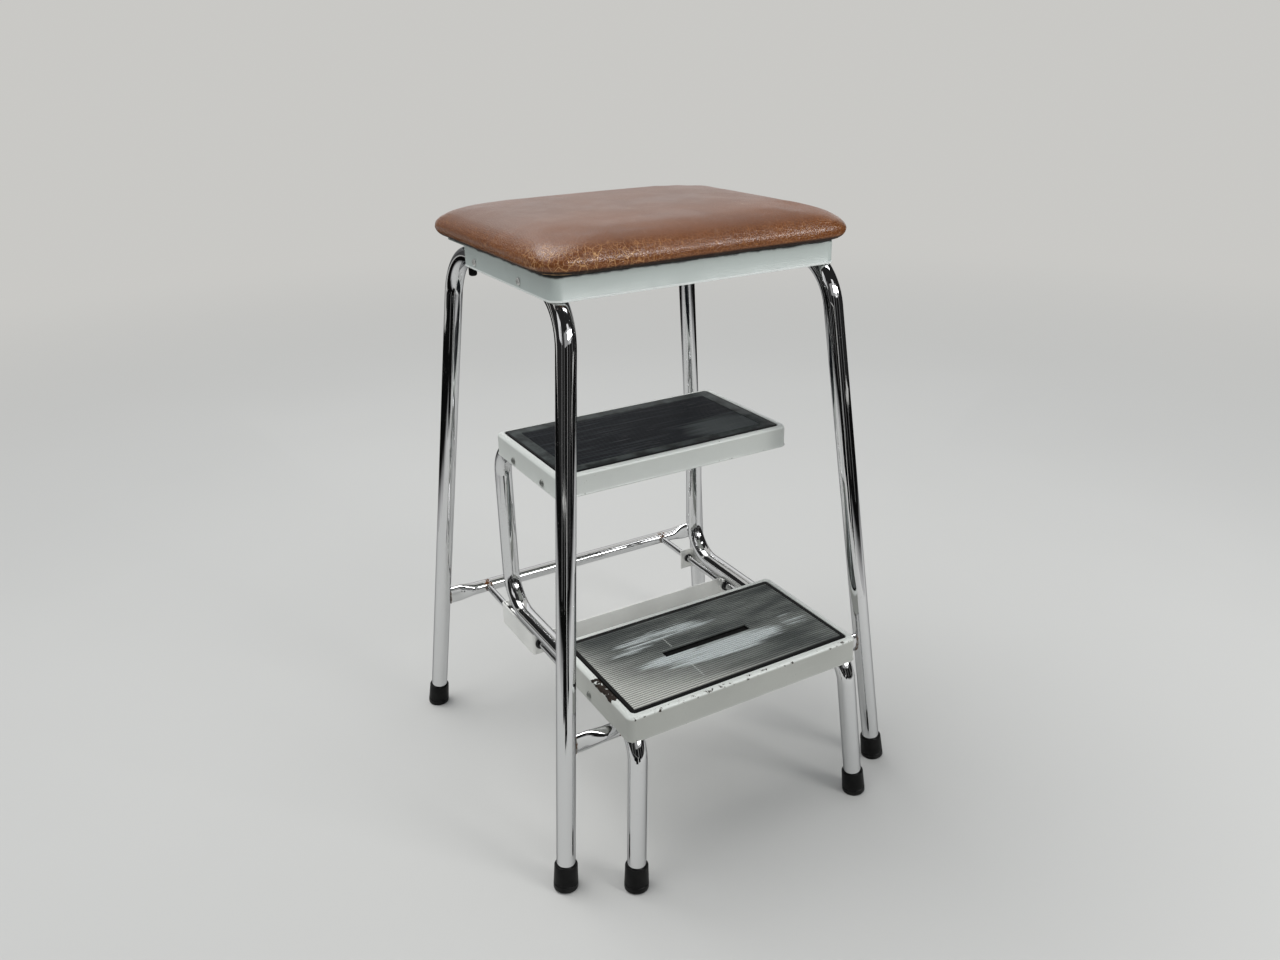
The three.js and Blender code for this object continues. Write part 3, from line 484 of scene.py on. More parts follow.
SEAT_PAINT = seat_paint()
PATCH = (-184 * MM + MIDDLE_Y, -146 * MM + MIDDLE_Y, 9.5 * MM)
LOWER_ENAMEL = step_enamel("lower_step_enamel", "lower_step_pan", (0.435, 0.44, 0.405), 0.66, PATCH)
MIDDLE_ENAMEL = step_enamel("middle_step_enamel", "middle_step_pan", (0.6, 0.62, 0.585), 0.4)
print("paints:", SEAT_PAINT.name, LOWER_ENAMEL.name, MIDDLE_ENAMEL.name)

# %% [markdown]
# ## Ribbed mats
# Both mats are black rubber. The lower one is worn grey by shoes: pale scuffs run along the ribs in front of
# the recess and behind it, and the smooth border stays black. The middle one keeps its blue-black colour in the
# ribbed field, with a lighter, smooth border and a rubbed patch near the front right.


# %% Helpers for a flat piece
def centred_material(name, node):
    """A new material with the half size of a node's box, and x, y and z from the middle of that box."""
    material, shader, where = new_material(name)
    low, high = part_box(node)
    spot = xyz(vector_math("SUBTRACT", where, (low + high) / 2))
    return material, shader, where, (high - low) / 2, spot


def border_mask(spot, half, width):
    """0 in the field and 1 in the border of the given width."""
    masks = []
    for part, reach in zip(spot, half.xy):
        edge = reach - width
        masks.append(ramp(calculate("ABSOLUTE", part), edge - 0.4 * MM, edge + 0.4 * MM))
    return maximum(*masks)


def blotch(spot, x, y, reach_x, reach_y):
    """A soft oval round x, y: 1 in its middle and 0 at its reach."""
    across = calculate("POWER", (spot[0] - x) / reach_x, 2.0)
    along = calculate("POWER", (spot[1] - y) / reach_y, 2.0)
    return falling(across + along, 0.0, 1.0)


# %% The lower mat's rubber
# Middle, reach and strength of each pale scuff, in mm from the mat's middle
SCUFFS = [
    (-55, -11, 56, 12, 0.85),
    (14, -22, 96, 20, 1.0),
    (-30, 37, 82, 16, 0.62),
    (-78, 23, 44, 7, 0.6),
    (108, -14, 26, 22, 0.35),
]
DUST_X = 170 * MM
DUST_Y = 110 * MM
CREASE_X = -39.5 * MM
CREASES = [(-54, -29), (11, 28)]
WORN_DARK = (0.095, 0.104, 0.098)
WORN_GREY = (0.23, 0.243, 0.225)
DUST = (0.66, 0.66, 0.61)
CREASE = (0.62, 0.63, 0.6)
SMOOTH_BLACK = (0.006, 0.006, 0.006)
GROOVE = (0.02, 0.02, 0.02)
SCUFF = (0.66, 0.7, 0.69)
RECESS_BLACK = (0.002, 0.002, 0.002)


def worn_mat():
    material, shader, where, half, spot = centred_material("lower_mat_rubber", "lower_step_mat")
    x, y, z = spot
    torn = (noise_at(stretched(where, (14.0, 330.0, 60.0)), 1.0, 4.0, 0.6) - 0.5) * 3.4
    broad = noise_at(stretched(where, (9.0, 40.0, 40.0)), 1.0)
    scuff = 0.0
    for *oval, strength in SCUFFS:
        scuff = maximum(scuff, blotch(spot, *(size * MM for size in oval)) * strength)
    rubbed = ramp(scuff * 1.45 + torn, 0.3, 1.1) * ramp(scuff, 0.02, 0.3)
    from_left = calculate("SQRT", x / DUST_X + half.x / DUST_X)
    from_front = calculate("SQRT", y / DUST_Y + half.y / DUST_Y)
    dusty = ramp(from_left + from_front - torn * 0.09, 0.82, 1.5, 0.95, 0.0)
    base = tint(mix(ramp(broad, 0.35, 0.65), WORN_DARK, WORN_GREY), DUST, dusty)
    thin = falling(calculate("ABSOLUTE", x - CREASE_X), 0.3 * MM, 1.2 * MM)
    for first, last in CREASES:
        base = tint(base, CREASE, thin * between(y, first * MM, last * MM, 3 * MM), 0.75)
    base = tint(base, SMOOTH_BLACK, border_mask(spot, half, LOWER_BORDER))
    deep = falling(z, half.z - 1.0 * MM, half.z - 0.5 * MM)
    base = tint(base, GROOVE, deep, 0.7)
    base = tint(base, SCUFF, rubbed * graded(deep, 1.0, 0.6))
    base = tint(base, RECESS_BLACK, falling(z, half.z - 1.6 * MM, half.z - 1.2 * MM))
    normal = bump(noise_at(where, 1400.0), 0.06 * MM)
    feed(shader, color=base, rough=graded(rubbed, 0.6, 0.8), normal=normal, specular=0.12)
    return material


WORN_MAT = worn_mat()
print("lower mat:", WORN_MAT.name)

# %% The middle mat's rubber
BLUE_BLACK = (0.004, 0.006, 0.01)
BLUE_GREY = (0.03, 0.037, 0.042)
RUBBED_GREY = (0.1, 0.11, 0.11)
FINE_SCRATCHES = (0.2, 0.21, 0.22)
BORDER_DARK = (0.012, 0.015, 0.015)
BORDER_PALE = (0.07, 0.082, 0.08)
EDGE_BLACK = (0.006, 0.006, 0.007)


def blue_mat():
    material, shader, where, half, spot = centred_material("middle_mat_rubber", "middle_step_mat")
    streaks = noise_at(stretched(where, (12.0, 260.0, 60.0)), 1.0, 4.0, 0.6)
    worn = blotch(spot, 88 * MM, -42 * MM, 75 * MM, 42 * MM)
    rubbed = ramp(worn + (streaks - 0.6), 0.1, 0.9)
    base = tint(mix(ramp(streaks, 0.45, 0.75), BLUE_BLACK, BLUE_GREY), RUBBED_GREY, rubbed)
    base = tint(base, FINE_SCRATCHES, scratched(where, (30.0, 700.0, 700.0), 0.7), 0.35)
    border = mix(mottled(where, 50.0), BORDER_DARK, BORDER_PALE)
    base = mix(border_mask(spot, half, MIDDLE_BORDER), base, border)
    base = tint(base, EDGE_BLACK, border_mask(spot, half, 2.5 * MM))
    normal = bump(noise_at(where, 1400.0), 0.05 * MM)
    feed(shader, color=base, rough=graded(rubbed, 0.5, 0.7), normal=normal, specular=0.08)
    return material


BLUE_MAT = blue_mat()
print("middle mat:", BLUE_MAT.name)

# %% [markdown]
# ## Leatherette
# The cover is brown vinyl pressed with a leather grain. Two cell patterns make it: small pebbles for the grain,
# and larger cells whose edges are the pale cracks where the vinyl is stretched round the sides. The cracks are
# strong at the front left corner and fade out towards the middle of the top.

# %% Leatherette
DEEP_BROWN = (0.148, 0.041, 0.007)
WARM_BROWN = (0.215, 0.064, 0.011)
FAR_BROWN = (0.14, 0.05, 0.026)
FADED_AND_SHEEN_TOP = (0.19, 0.12, 0.09)
GRAIN_DARK = (0.08, 0.03, 0.012)
CRACK_TAN = (0.4, 0.17, 0.055)
CRACK_CREAM = (0.66, 0.36, 0.15)
TUCK_SHADOW = (0.012, 0.006, 0.004)
HANDLED = (0.45, 0.3, 0.2)
CRACK_WANDER = 6 * MM


def leatherette():
    material, shader, where, half, spot = centred_material("brown_leatherette", "seat_cover")
    _, y, z = spot
    warp = made(where.tree, "ShaderNodeTexNoise", "Color", {"Vector": where, "Scale": 90.0, "Detail": 3.0})
    warp = vector_math("SUBTRACT", warp, (0.5, 0.5, 0.5))
    bent = vector_math("ADD", where, vector_math("MULTIPLY", warp, (CRACK_WANDER, CRACK_WANDER, CRACK_WANDER)))

    def crack_lines(scale, width, stretch=(1.0, 1.0, 1.0)):
        return falling(cells(stretched(bent, stretch), scale, "DISTANCE_TO_EDGE"), 0.0, width)

    grain = crack_lines(430.0, 0.2)
    fine = crack_lines(250.0, 0.075)
    long_cracks = crack_lines(105.0, 0.035, (1.0, 1.0, 0.5))
    drop = falling(z, half.z - 15 * MM, half.z - 4 * MM)
    corner = blotch(spot, -half.x + 25 * MM, -half.y, 120 * MM, 75 * MM)
    broken = mottled(where, 90.0, 0.36, 0.58)
    cream = maximum(fine * broken * 0.5, long_cracks) * (corner * 0.75 + 0.1) * drop
    tan = fine * drop * 0.62
    line = maximum(cream, tan)
    top = ramp(z, half.z - 15 * MM, half.z - 3 * MM)
    shaded_tuck = falling(z, -half.z + 3.5 * MM, -half.z + 6.5 * MM)
    far_end = blotch(spot, -half.x, half.y * 0.6, 70 * MM, 90 * MM)

    base = mix(mottled(where, 9.0), DEEP_BROWN, WARM_BROWN)
    base = tint(base, FAR_BROWN, far_end, 0.5)
    # Partly fading and partly a painted sheen: the top is mixed towards a greyer brown, more so towards the
    # rear.
    base = tint(base, FADED_AND_SHEEN_TOP, top * ramp(y, -half.y, 0.2 * half.y, 0.15, 0.55))
    base = tint(base, GRAIN_DARK, grain, 0.25)
    base = tint(base, CRACK_TAN, tan)
    base = tint(base, CRACK_CREAM, cream)
    # Painted shadow: the tuck under the cover's widest line is made almost black.
    base = tint(base, TUCK_SHADOW, shaded_tuck, 0.93)
    base = tint(base, HANDLED, scratched(where, (160.0, 60.0, 160.0), 0.5), 0.2)
    rough = graded(mottled(where, 16.0), 0.36, 0.28) + top * 0.14
    rough = calculate("ADD", rough, shaded_tuck * 0.5, clamp=True)
    coat = ramp(z, half.z - 15 * MM, half.z - 4 * MM, 0.48, 0.16)
    coat = coat * ramp(z, -half.z + 5 * MM, -half.z + 9 * MM)
    normal = bump(1.0 - line, 0.16 * MM, bump(1.0 - grain, 0.09 * MM))
    feed(shader, color=base, rough=rough, normal=normal, specular=0.36)
    feed(shader, coat=coat, coat_rough=0.18, coat_normal=normal)
    return material


LEATHERETTE = leatherette()
print("leatherette:", len(LEATHERETTE.node_tree.nodes), "nodes")


# %% Rubber, plastic, plated steel, foam and plywood
def plain_rubber():
    material, shader, where = new_material("black_rubber")
    dusty = falling(xyz(where)[2], FLOOR_Z, FLOOR_Z + 9 * MM)
    dust = (dusty * 0.4 + 0.08) * mottled(where, 90.0, 0.35, 0.7)
    color = mix(dust, (0.003, 0.003, 0.003), (0.06, 0.058, 0.055))
    normal = bump(noise_at(where, 1200.0), 0.05 * MM)
    feed(shader, color=color, rough=graded(dust, 0.42, 0.85), normal=normal, specular=0.14)
    return material


def plastic():
    material, shader, where = new_material("black_plastic")
    tone = mottled(where, 60.0)
    color = mix(tone, (0.012, 0.012, 0.013), (0.03, 0.03, 0.032))
    normal = bump(noise_at(where, 1500.0, 2.0), 0.03 * MM)
    feed(shader, color=color, rough=graded(tone, 0.38, 0.55), normal=normal)
    return material


def plated_steel(name, color, rough, metal):
    material, shader, where = new_material(name)
    tone = mottled(where, 12.0)
    lines = scratched(where, (20.0, 500.0, 900.0), 0.6)
    base = mix(tone, tuple(channel * 0.9 for channel in color), color)
    base = tint(base, (0.2, 0.14, 0.09), specked(where, 400.0, 0.12, 0.6), 0.5)
    dull = calculate("ADD", graded(tone, rough * 1.2, rough * 0.9), lines * 0.08, clamp=True)
    feed(shader, color=base, rough=dull, metal=metal, normal=bump(lines, 0.01 * MM))
    return material


def foam():
    material, shader, where = new_material("yellow_foam")
    holes = cells(where, 700.0)
    color = mix(mottled(where, 20.0), (0.62, 0.48, 0.2), (0.75, 0.62, 0.32))
    color = tint(color, (0.3, 0.2, 0.08), ramp(holes, 0.0, 0.5, 0.5, 0.0))
    feed(shader, color=color, rough=0.95, normal=bump(holes, 0.3 * MM))
    return material


def plywood():
    material, shader, where = new_material("birch_plywood")
    grain = noise_at(stretched(where, (6.0, 180.0, 180.0)), 1.0, 5.0, 0.6)
    inputs = {"Vector": where, "Scale": 160.0, "Distortion": 0.4}
    plies = made(where.tree, "ShaderNodeTexWave", "Fac", inputs, bands_direction="Z")
    color = mix(ramp(grain, 0.3, 0.7), (0.38, 0.22, 0.1), (0.58, 0.39, 0.2))
    color = tint(color, (0.24, 0.13, 0.06), plies, 0.3)
    feed(shader, color=color, rough=0.75, normal=bump(grain, 0.1 * MM))
    return material


def weld_metal():
    material, shader, where = new_material("weld_metal")
    tone = noise_at(where, 260.0, 4.0)
    color = mix(ramp(tone, 0.4, 0.62), (0.3, 0.29, 0.27), (0.11, 0.05, 0.022))
    rough = ramp(tone, 0.35, 0.65, 0.35, 0.8)
    metal = ramp(tone, 0.4, 0.6, 0.9, 0.1)
    feed(shader, color=color, rough=rough, metal=metal, normal=bump(tone, 0.4 * MM))
    return material


RUBBER = plain_rubber()
PLASTIC = plastic()
BRACKET_STEEL = plated_steel("bracket_plating", (0.87, 0.87, 0.835), 0.2, 0.35)
SCREW_STEEL = plated_steel("screw_plating", (0.72, 0.72, 0.69), 0.3, 0.35)
DULL_SCREWS = plated_steel("dull_screw_plating", (0.3, 0.31, 0.29), 0.42, 0.7)
FOAM = foam()
PLYWOOD = plywood()
WELD = weld_metal()
print("materials:", len(bpy.data.materials))

# %% [markdown]
# ## Mesh helpers
# Most of the stool is turned, swept or pressed. A skin over rings of points makes all three: rings round an
# axis for a turned piece, round a path for a bar, and rounded rectangles for a pressed pan. Edges that turn
# more than a limit are marked sharp, so that flat faces stay flat and curves look smooth.


# %% Helpers for meshes
def shade(mesh, limit=0.6):
    """Merges what meets, turns every face outwards and marks the edges that bend more than the limit."""
    work = bmesh.new()
    work.from_mesh(mesh)
    bmesh.ops.remove_doubles(work, verts=work.verts, dist=0.002 * MM)
    bmesh.ops.recalc_face_normals(work, faces=work.faces)
    for face in work.faces:
        face.smooth = True
    for edge in work.edges:
        edge.smooth = len(edge.link_faces) == 2 and edge.calc_face_angle() < limit
    work.to_mesh(mesh)
    work.free()


def dress(mesh, material):
    mesh.materials.clear()
    mesh.materials.append(material)


def linked(name, mesh):
    piece = bpy.data.objects.new(name, mesh)
    scene.collection.objects.link(piece)
    return piece


def piece_of(name, mesh, material):
    dress(mesh, material)
    return linked(name, mesh)


def result_of(piece):
    """The mesh that a piece's modifiers make."""
    seen = piece.evaluated_get(bpy.context.evaluated_depsgraph_get())
    return bpy.data.meshes.new_from_object(seen)


def freeze(piece):
    """Makes the modifiers' result the piece's own mesh, in the same material."""
    material = piece.data.materials[0]
    mesh = result_of(piece)
    piece.modifiers.clear()
    piece.data = mesh
    dress(mesh, material)


def cut_away(piece, meshes):
    """Cuts the form of each mesh out of the piece."""
    tools = [piece_of("cutter", mesh, piece.data.materials[0]) for mesh in meshes]
    for tool in tools:
        cut = piece.modifiers.new("cut", "BOOLEAN")
        cut.object = tool
        cut.solver = "EXACT"
    freeze(piece)
    for tool in tools:
        bpy.data.objects.remove(tool)


def joined(name, meshes):
    """One mesh of several."""
    work = bmesh.new()
    for mesh in meshes:
        work.from_mesh(mesh)
        bpy.data.meshes.remove(mesh)
    mesh = bpy.data.meshes.new(name)
    work.to_mesh(mesh)
    work.free()
    return mesh


def stand_in(piece, body, slot, *nodes):
    """The piece rides on a body and stands for the plain nodes, which it hides. The slot is not used."""
    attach(piece, body)
    if nodes:
        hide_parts(*nodes)
    faces = len(piece.data.polygons)
    print(f"{piece.name}: {faces} faces for {', '.join(nodes) or 'no node'}")


# %% Skins over rings of points
def round_angles(count):
    return [2 * pi * k / count for k in range(count)]


def ring_faces(rings, count, around=False):
    """Faces between rings of count points, with both ends closed unless the rings go around."""
    faces = []
    for i in range(rings if around else rings - 1):
        low, high = i * count, (i + 1) % rings * count
        for j in range(count):
            after = (j + 1) % count
            faces.append((low + j, low + after, high + after, high + j))
    if not around:
        faces.append(tuple(reversed(range(count))))
        faces.append(tuple(range((rings - 1) * count, rings * count)))
    return faces


def ring_mesh(name, rings, around=False):
    mesh = bpy.data.meshes.new(name)
    points = [tuple(point) for ring in rings for point in ring]
    mesh.from_pydata(points, [], ring_faces(len(rings), len(rings[0]), around))
    shade(mesh)
    return mesh


def turned(name, outline, spot, axis, sides=40):
    """A mesh turned about an axis from an outline of (radius, height) points."""
    turn = UPWARDS.rotation_difference(axis).to_matrix()
    rings = []
    for radius, height in outline:
        ring = [Vector((radius * cos(a), radius * sin(a), height)) for a in round_angles(sides)]
        rings.append([spot + turn @ point for point in ring])
    around = outline[0] == outline[-1]
    return ring_mesh(name, rings[:-1] if around else rings, around)


def arc(radius, height, size, first, last, steps=5):
    """Outline points on a quarter round about (radius, height), from one angle in degrees to another."""
    angles = [math.radians(first + (last - first) * k / steps) for k in range(steps + 1)]
    return [(radius + size * cos(a), height + size * sin(a)) for a in angles]


def rounded_ring(low, high, corner, inset, z, steps=10):
    """A rounded rectangle at height z, drawn in by inset."""
    r = max(corner - inset, corner * 0.2)
    ring = []
    xs = (low.x + inset + r, high.x - inset - r)
    ys = (low.y + inset + r, high.y - inset - r)
    for i, (x, y) in enumerate([(xs[1], ys[1]), (xs[0], ys[1]), (xs[0], ys[0]), (xs[1], ys[0])]):
        for k in range(steps + 1):
            angle = pi / 2 * (i + k / steps)
            ring.append(Vector((x + r * cos(angle), y + r * sin(angle), z)))
    return ring


def box_mesh(low, high):
    ring = [(low.x, low.y), (high.x, low.y), (high.x, high.y), (low.x, high.y)]
    return ring_mesh("box", [[Vector((x, y, z)) for x, y in ring] for z in (low.z, high.z)])


# %% [markdown]
# ## Geometry Nodes: one tree for every bent tube
# A tube bender makes straight runs and round bends of one radius. The tree does the same: it takes a chain of
# corners with a bend radius on each, rounds them with Fillet Curve, and sweeps a circle along the result. The
# same tree makes both side frames and both step tubes.

# %% The tube tree
GEOMETRY = "NodeSocketGeometry"
COUNT = "NodeSocketInt"
OBJECT = "NodeSocketObject"
MATERIAL = "NodeSocketMaterial"


def geometry_tree(name, inputs):
    """A tree that takes a geometry and some named inputs, all of them as values."""
    tree = bpy.data.node_groups.new(name, "GeometryNodeTree")
    inputs = {"Geometry": GEOMETRY, **inputs, "Material": MATERIAL}
    for label, kind in inputs.items():
        tree.interface.new_socket(name=label, in_out="INPUT", socket_type=kind)
    tree.interface.new_socket(name="Geometry", in_out="OUTPUT", socket_type=GEOMETRY)
    start = tree.nodes.new("NodeGroupInput").outputs
    return tree, [Value(start[label]) for label in inputs]


def named_field(tree, name, kind="FLOAT"):
    return made(tree, "GeometryNodeInputNamedAttribute", "Attribute", {"Name": name}, data_type=kind)


def form_of(tree, item):
    return made(tree, "GeometryNodeObjectInfo", "Geometry", {"Object": item})


def finish_tree(tree, geometry, material):
    real = made(tree, "GeometryNodeRealizeInstances", "Geometry", {"Geometry": geometry})
    dressed = made(tree, "GeometryNodeSetMaterial", "Geometry", {"Geometry": real, "Material": material})
    add_node(tree, "NodeGroupOutput", {"Geometry": dressed})


tube_tree, (chain, radius, sides, bend_steps, material) = geometry_tree(
    "BentTube", {"Radius": FLOAT, "Sides": COUNT, "Bend steps": COUNT}
)
line = made(tube_tree, "GeometryNodeMeshToCurve", "Curve", {"Mesh": chain})
bends = {"Radius": named_field(tube_tree, "bend"), "Limit Radius": True, "Count": bend_steps}
soft_line = made(tube_tree, "GeometryNodeFilletCurve", "Curve", {"Curve": line, **bends}, mode="POLY")
circle = {"Resolution": sides, "Radius": radius}
section = made(tube_tree, "GeometryNodeCurvePrimitiveCircle", "Curve", circle)
sweep = {"Curve": soft_line, "Profile Curve": section, "Fill Caps": True}
finish_tree(tube_tree, made(tube_tree, "GeometryNodeCurveToMesh", "Mesh", sweep), material)


def grown(name, mesh, tree, values):
    """The plain mesh that a tree makes of a source mesh, as a new object."""
    source = linked(name + "_source", mesh)
    modifier = source.modifiers.new("tree", "NODES")
    modifier.node_group = tree
    for item in tree.interface.items_tree:
        if item.in_out == "INPUT" and item.name in values:
            modifier[item.identifier] = values[item.name]
    made_mesh = result_of(source)
    bpy.data.objects.remove(source)
    shade(made_mesh)
    return linked(name, made_mesh)


def bent_tube(name, corners, body, node):
    """A tube through corners, each given as (point, bend radius)."""
    mesh = bpy.data.meshes.new(name + "_line")
    mesh.from_pydata([tuple(p) for p, _ in corners], [(i, i + 1) for i in range(len(corners) - 1)], [])
    bend = mesh.attributes.new("bend", "FLOAT", "POINT")
    bend.data.foreach_set("value", [size for _, size in corners])
    values = {"Radius": TUBE_R, "Sides": 40, "Bend steps": 14, "Material": CHROME_TUBE}
    stand_in(grown(name, mesh, tube_tree, values), body, "chromed_tube", node)


# %% The side frames and the step tubes
for side_name, side in SIDES:
    corners = [
        (leg_at(side, -1, TUBE_FOOT_Z), 0.0),
        (leg_at(side, -1, FRAME_TOP_Z), FRAME_BEND_R),
        (leg_at(side, 1, FRAME_TOP_Z), FRAME_BEND_R),
        (leg_at(side, 1, TUBE_FOOT_Z), 0.0),
    ]
    bent_tube(side_name + "_frame_tube", corners, "stool", side_name + "_leg_frame")

for side_name, side in SIDES:
    x = side * STEP_TUBE_X
    corners = [
        (step_leg_at(side, TUBE_FOOT_Z), 0.0),
        (step_leg_at(side, RUN_Z), STEP_BENDS[0]),
        (place(x, RISE_Y, RUN_Z), STEP_BENDS[1]),
        (place(x, RISE_Y, STEP_TOP_Z), STEP_BENDS[2]),
        (place(x, TUBE_END_Y, STEP_TOP_Z), 0.0),
    ]
    bent_tube(side_name + "_step_bent_tube", corners, "step_unit", side_name + "_step_tube")

# %% [markdown]
# ## Crossbars and rods
# A crossbar is a thin tube whose ends were pressed tall and narrow before they were welded to the legs. Its
# section runs from a circle to a flat oval over a short stretch, so its rings are worked out from a width and
# a height that change along it. The welds are lumpy rings of metal round each joint.

# %% Crossbars and welds
PRESSED_HALF_WIDTH = 3.2 * MM
PRESSED_HALF_HEIGHT = 11.6 * MM
PRESSED_LENGTH = 22 * MM
PRESSED_RUN_OUT = 24 * MM
RUN_OUT_STEPS = 8
BAR_SHORT_BY = 9.3 * MM
BAR_SIDES = 40
WELD_BEAD = 1.1 * MM
WELD_STEPS = 48
WELD_SIDES = 10


def ease(share):
    return share * share * (3 - 2 * share)


def crossbar_rings(y, end_x):
    round_x = end_x - PRESSED_LENGTH - PRESSED_RUN_OUT
    shares = [k / RUN_OUT_STEPS for k in range(RUN_OUT_STEPS + 1)]
    stations = [(round_x + PRESSED_RUN_OUT * share, share) for share in shares]
    stations.append((end_x - BAR_SHORT_BY, 1.0))
    stations = [(-x, share) for x, share in reversed(stations)] + stations
    rings = []
    for x, share in stations:
        half_y = CROSSBAR_R + (PRESSED_HALF_WIDTH - CROSSBAR_R) * ease(share)
        half_z = CROSSBAR_R + (PRESSED_HALF_HEIGHT - CROSSBAR_R) * ease(share)
        angles = round_angles(BAR_SIDES)
        rings.append([Vector((x, y + half_y * cos(a), CROSSBAR_Z + half_z * sin(a))) for a in angles])
    return rings


def weld_ring(spot, axis, half_a, half_b, seed):
    """A lumpy bead round an oval, with half_b along the vertical."""
    first = UPWARDS.cross(axis).normalized()
    rings = []
    for angle in round_angles(WELD_STEPS):
        out = first * (half_a * cos(angle)) + UPWARDS * (half_b * sin(angle))
        away = (first * (cos(angle) / half_a) + UPWARDS * (sin(angle) / half_b)).normalized()
        size = WELD_BEAD * (0.85 + 0.5 * noise.noise(out * 260 + Vector((seed, 0, 0))))
        turns = round_angles(WELD_SIDES)
        rings.append([spot + out + away * (size * cos(t)) + axis * (size * sin(t)) for t in turns])
    return ring_mesh("weld", rings, around=True)


weld_meshes = []
for i, (end_name, end) in enumerate(ENDS):
    axis_point = leg_at(1, end, CROSSBAR_Z)
    mesh = ring_mesh(end_name + "_crossbar_tube", crossbar_rings(axis_point.y, axis_point.x))
    bar = piece_of(end_name + "_crossbar_tube", mesh, CHROME_BAR)
    stand_in(bar, "stool", "chromed_tube", end_name + "_crossbar")
    for _, side in SIDES:
        joint = Vector((side * (axis_point.x - 10.2 * MM), axis_point.y, CROSSBAR_Z))
        weld_meshes.append(weld_ring(joint, Vector((-side, 0, 0)), 3.4 * MM, 11.4 * MM, i * 7 + side))
        joint = Vector((side * STEP_TUBE_X, axis_point.y - end * 8.2 * MM, CROSSBAR_Z))
        weld_meshes.append(weld_ring(joint, Vector((0, -end, 0)), 4.4 * MM, 4.4 * MM, i * 5 + side + 20))
welds = piece_of("frame_welds", joined("frame_welds", weld_meshes), WELD)
stand_in(welds, "stool", "chromed_tube")

# %% Guide rods
ROD_CHAMFER = 0.5 * MM
ROD_SHORT_BY = 1 * MM
BACKWARDS = Vector((0, 1, 0))
for side_name, side in SIDES:
    low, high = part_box(side_name + "_guide_rod")
    length = high.y - low.y - 2 * ROD_SHORT_BY
    start = Vector((side * STEP_TUBE_X, low.y + ROD_SHORT_BY, CROSSBAR_Z))
    thin = ROD_R - ROD_CHAMFER
    outline = [(thin, 0), (ROD_R, ROD_CHAMFER), (ROD_R, length - ROD_CHAMFER), (thin, length)]
    mesh = turned(side_name + "_round_rod", outline, start, BACKWARDS)
    rod = piece_of(side_name + "_round_rod", mesh, CHROME_ROD)
    stand_in(rod, "stool", "chromed_rod", side_name + "_guide_rod")

# %% [markdown]
# ## Rubber tips, buffers, plugs and bushings
# These are all turned pieces. A tip leans with its leg, but it has worn level with the floor, so the points
# that would go through the floor are lifted to it.

# %% Leg tips
TIP_R = 13 * MM
TIP_TOP_R = 12.2 * MM
TIP_HEIGHT = 29 * MM
TIP_SINK = 1 * MM
TIP_BORE_R = TUBE_R + 0.15 * MM
HEEL_R = 2.5 * MM
LIP_R = 0.9 * MM
GROOVE_R = TIP_R - 0.5 * MM
AXIS_R = 2 * MM


def tip_outline():
    """Up the outside from the sole, over the lip, and down a little way inside it."""
    sole = [(AXIS_R, 0), (TIP_R - HEEL_R, 0)]
    heel = arc(TIP_R - HEEL_R, HEEL_R, HEEL_R, -90, 0)
    groove = [(TIP_R, 7 * MM), (GROOVE_R, 7.6 * MM), (GROOVE_R, 8.4 * MM), (TIP_R - 0.1 * MM, 9 * MM)]
    lip = arc(TIP_TOP_R - LIP_R, TIP_HEIGHT - LIP_R, LIP_R, 0, 90)
    deep = TIP_HEIGHT - 4 * MM
    inside = [(TIP_BORE_R, TIP_HEIGHT), (TIP_BORE_R, deep), (AXIS_R, deep)]
    return [*sole, *heel, *groove, *lip, *inside]


def tip(foot, top, body, node):
    mesh = turned(node + "_ferrule", tip_outline(), foot, (top - foot).normalized())
    for vertex in mesh.vertices:
        vertex.co.z = max(vertex.co.z, FLOOR_Z)
    stand_in(piece_of(node + "_ferrule", mesh, RUBBER), body, "rubber", node)


for end_name, end in ENDS:
    for side_name, side in SIDES:
        foot = leg_at(side, end, -TIP_SINK)
        tip(foot, leg_at(side, end, FRAME_TOP_Z), "stool", f"{end_name}_{side_name}_leg_tip")
for side_name, side in SIDES:
    tip(step_leg_at(side, -TIP_SINK), step_leg_at(side, RUN_Z), "step_unit", side_name + "_step_tip")

# %% Buffers, plugs and bushings
POLE_R = 0.4 * MM
PLUG_CAP = 2.5 * MM
PLUG_STEM_R = 8.2 * MM
BORE_R = 4.3 * MM
BUSHING_R = 5.4 * MM
FLANGE_R = 7 * MM
FLANGE = 1.6 * MM
SMALL_SIDES = 32


def small_turned(name, outline, spot, axis, material, body, slot, node):
    piece = piece_of(name, turned(name, outline, spot, axis, SMALL_SIDES), material)
    stand_in(piece, body, slot, node)


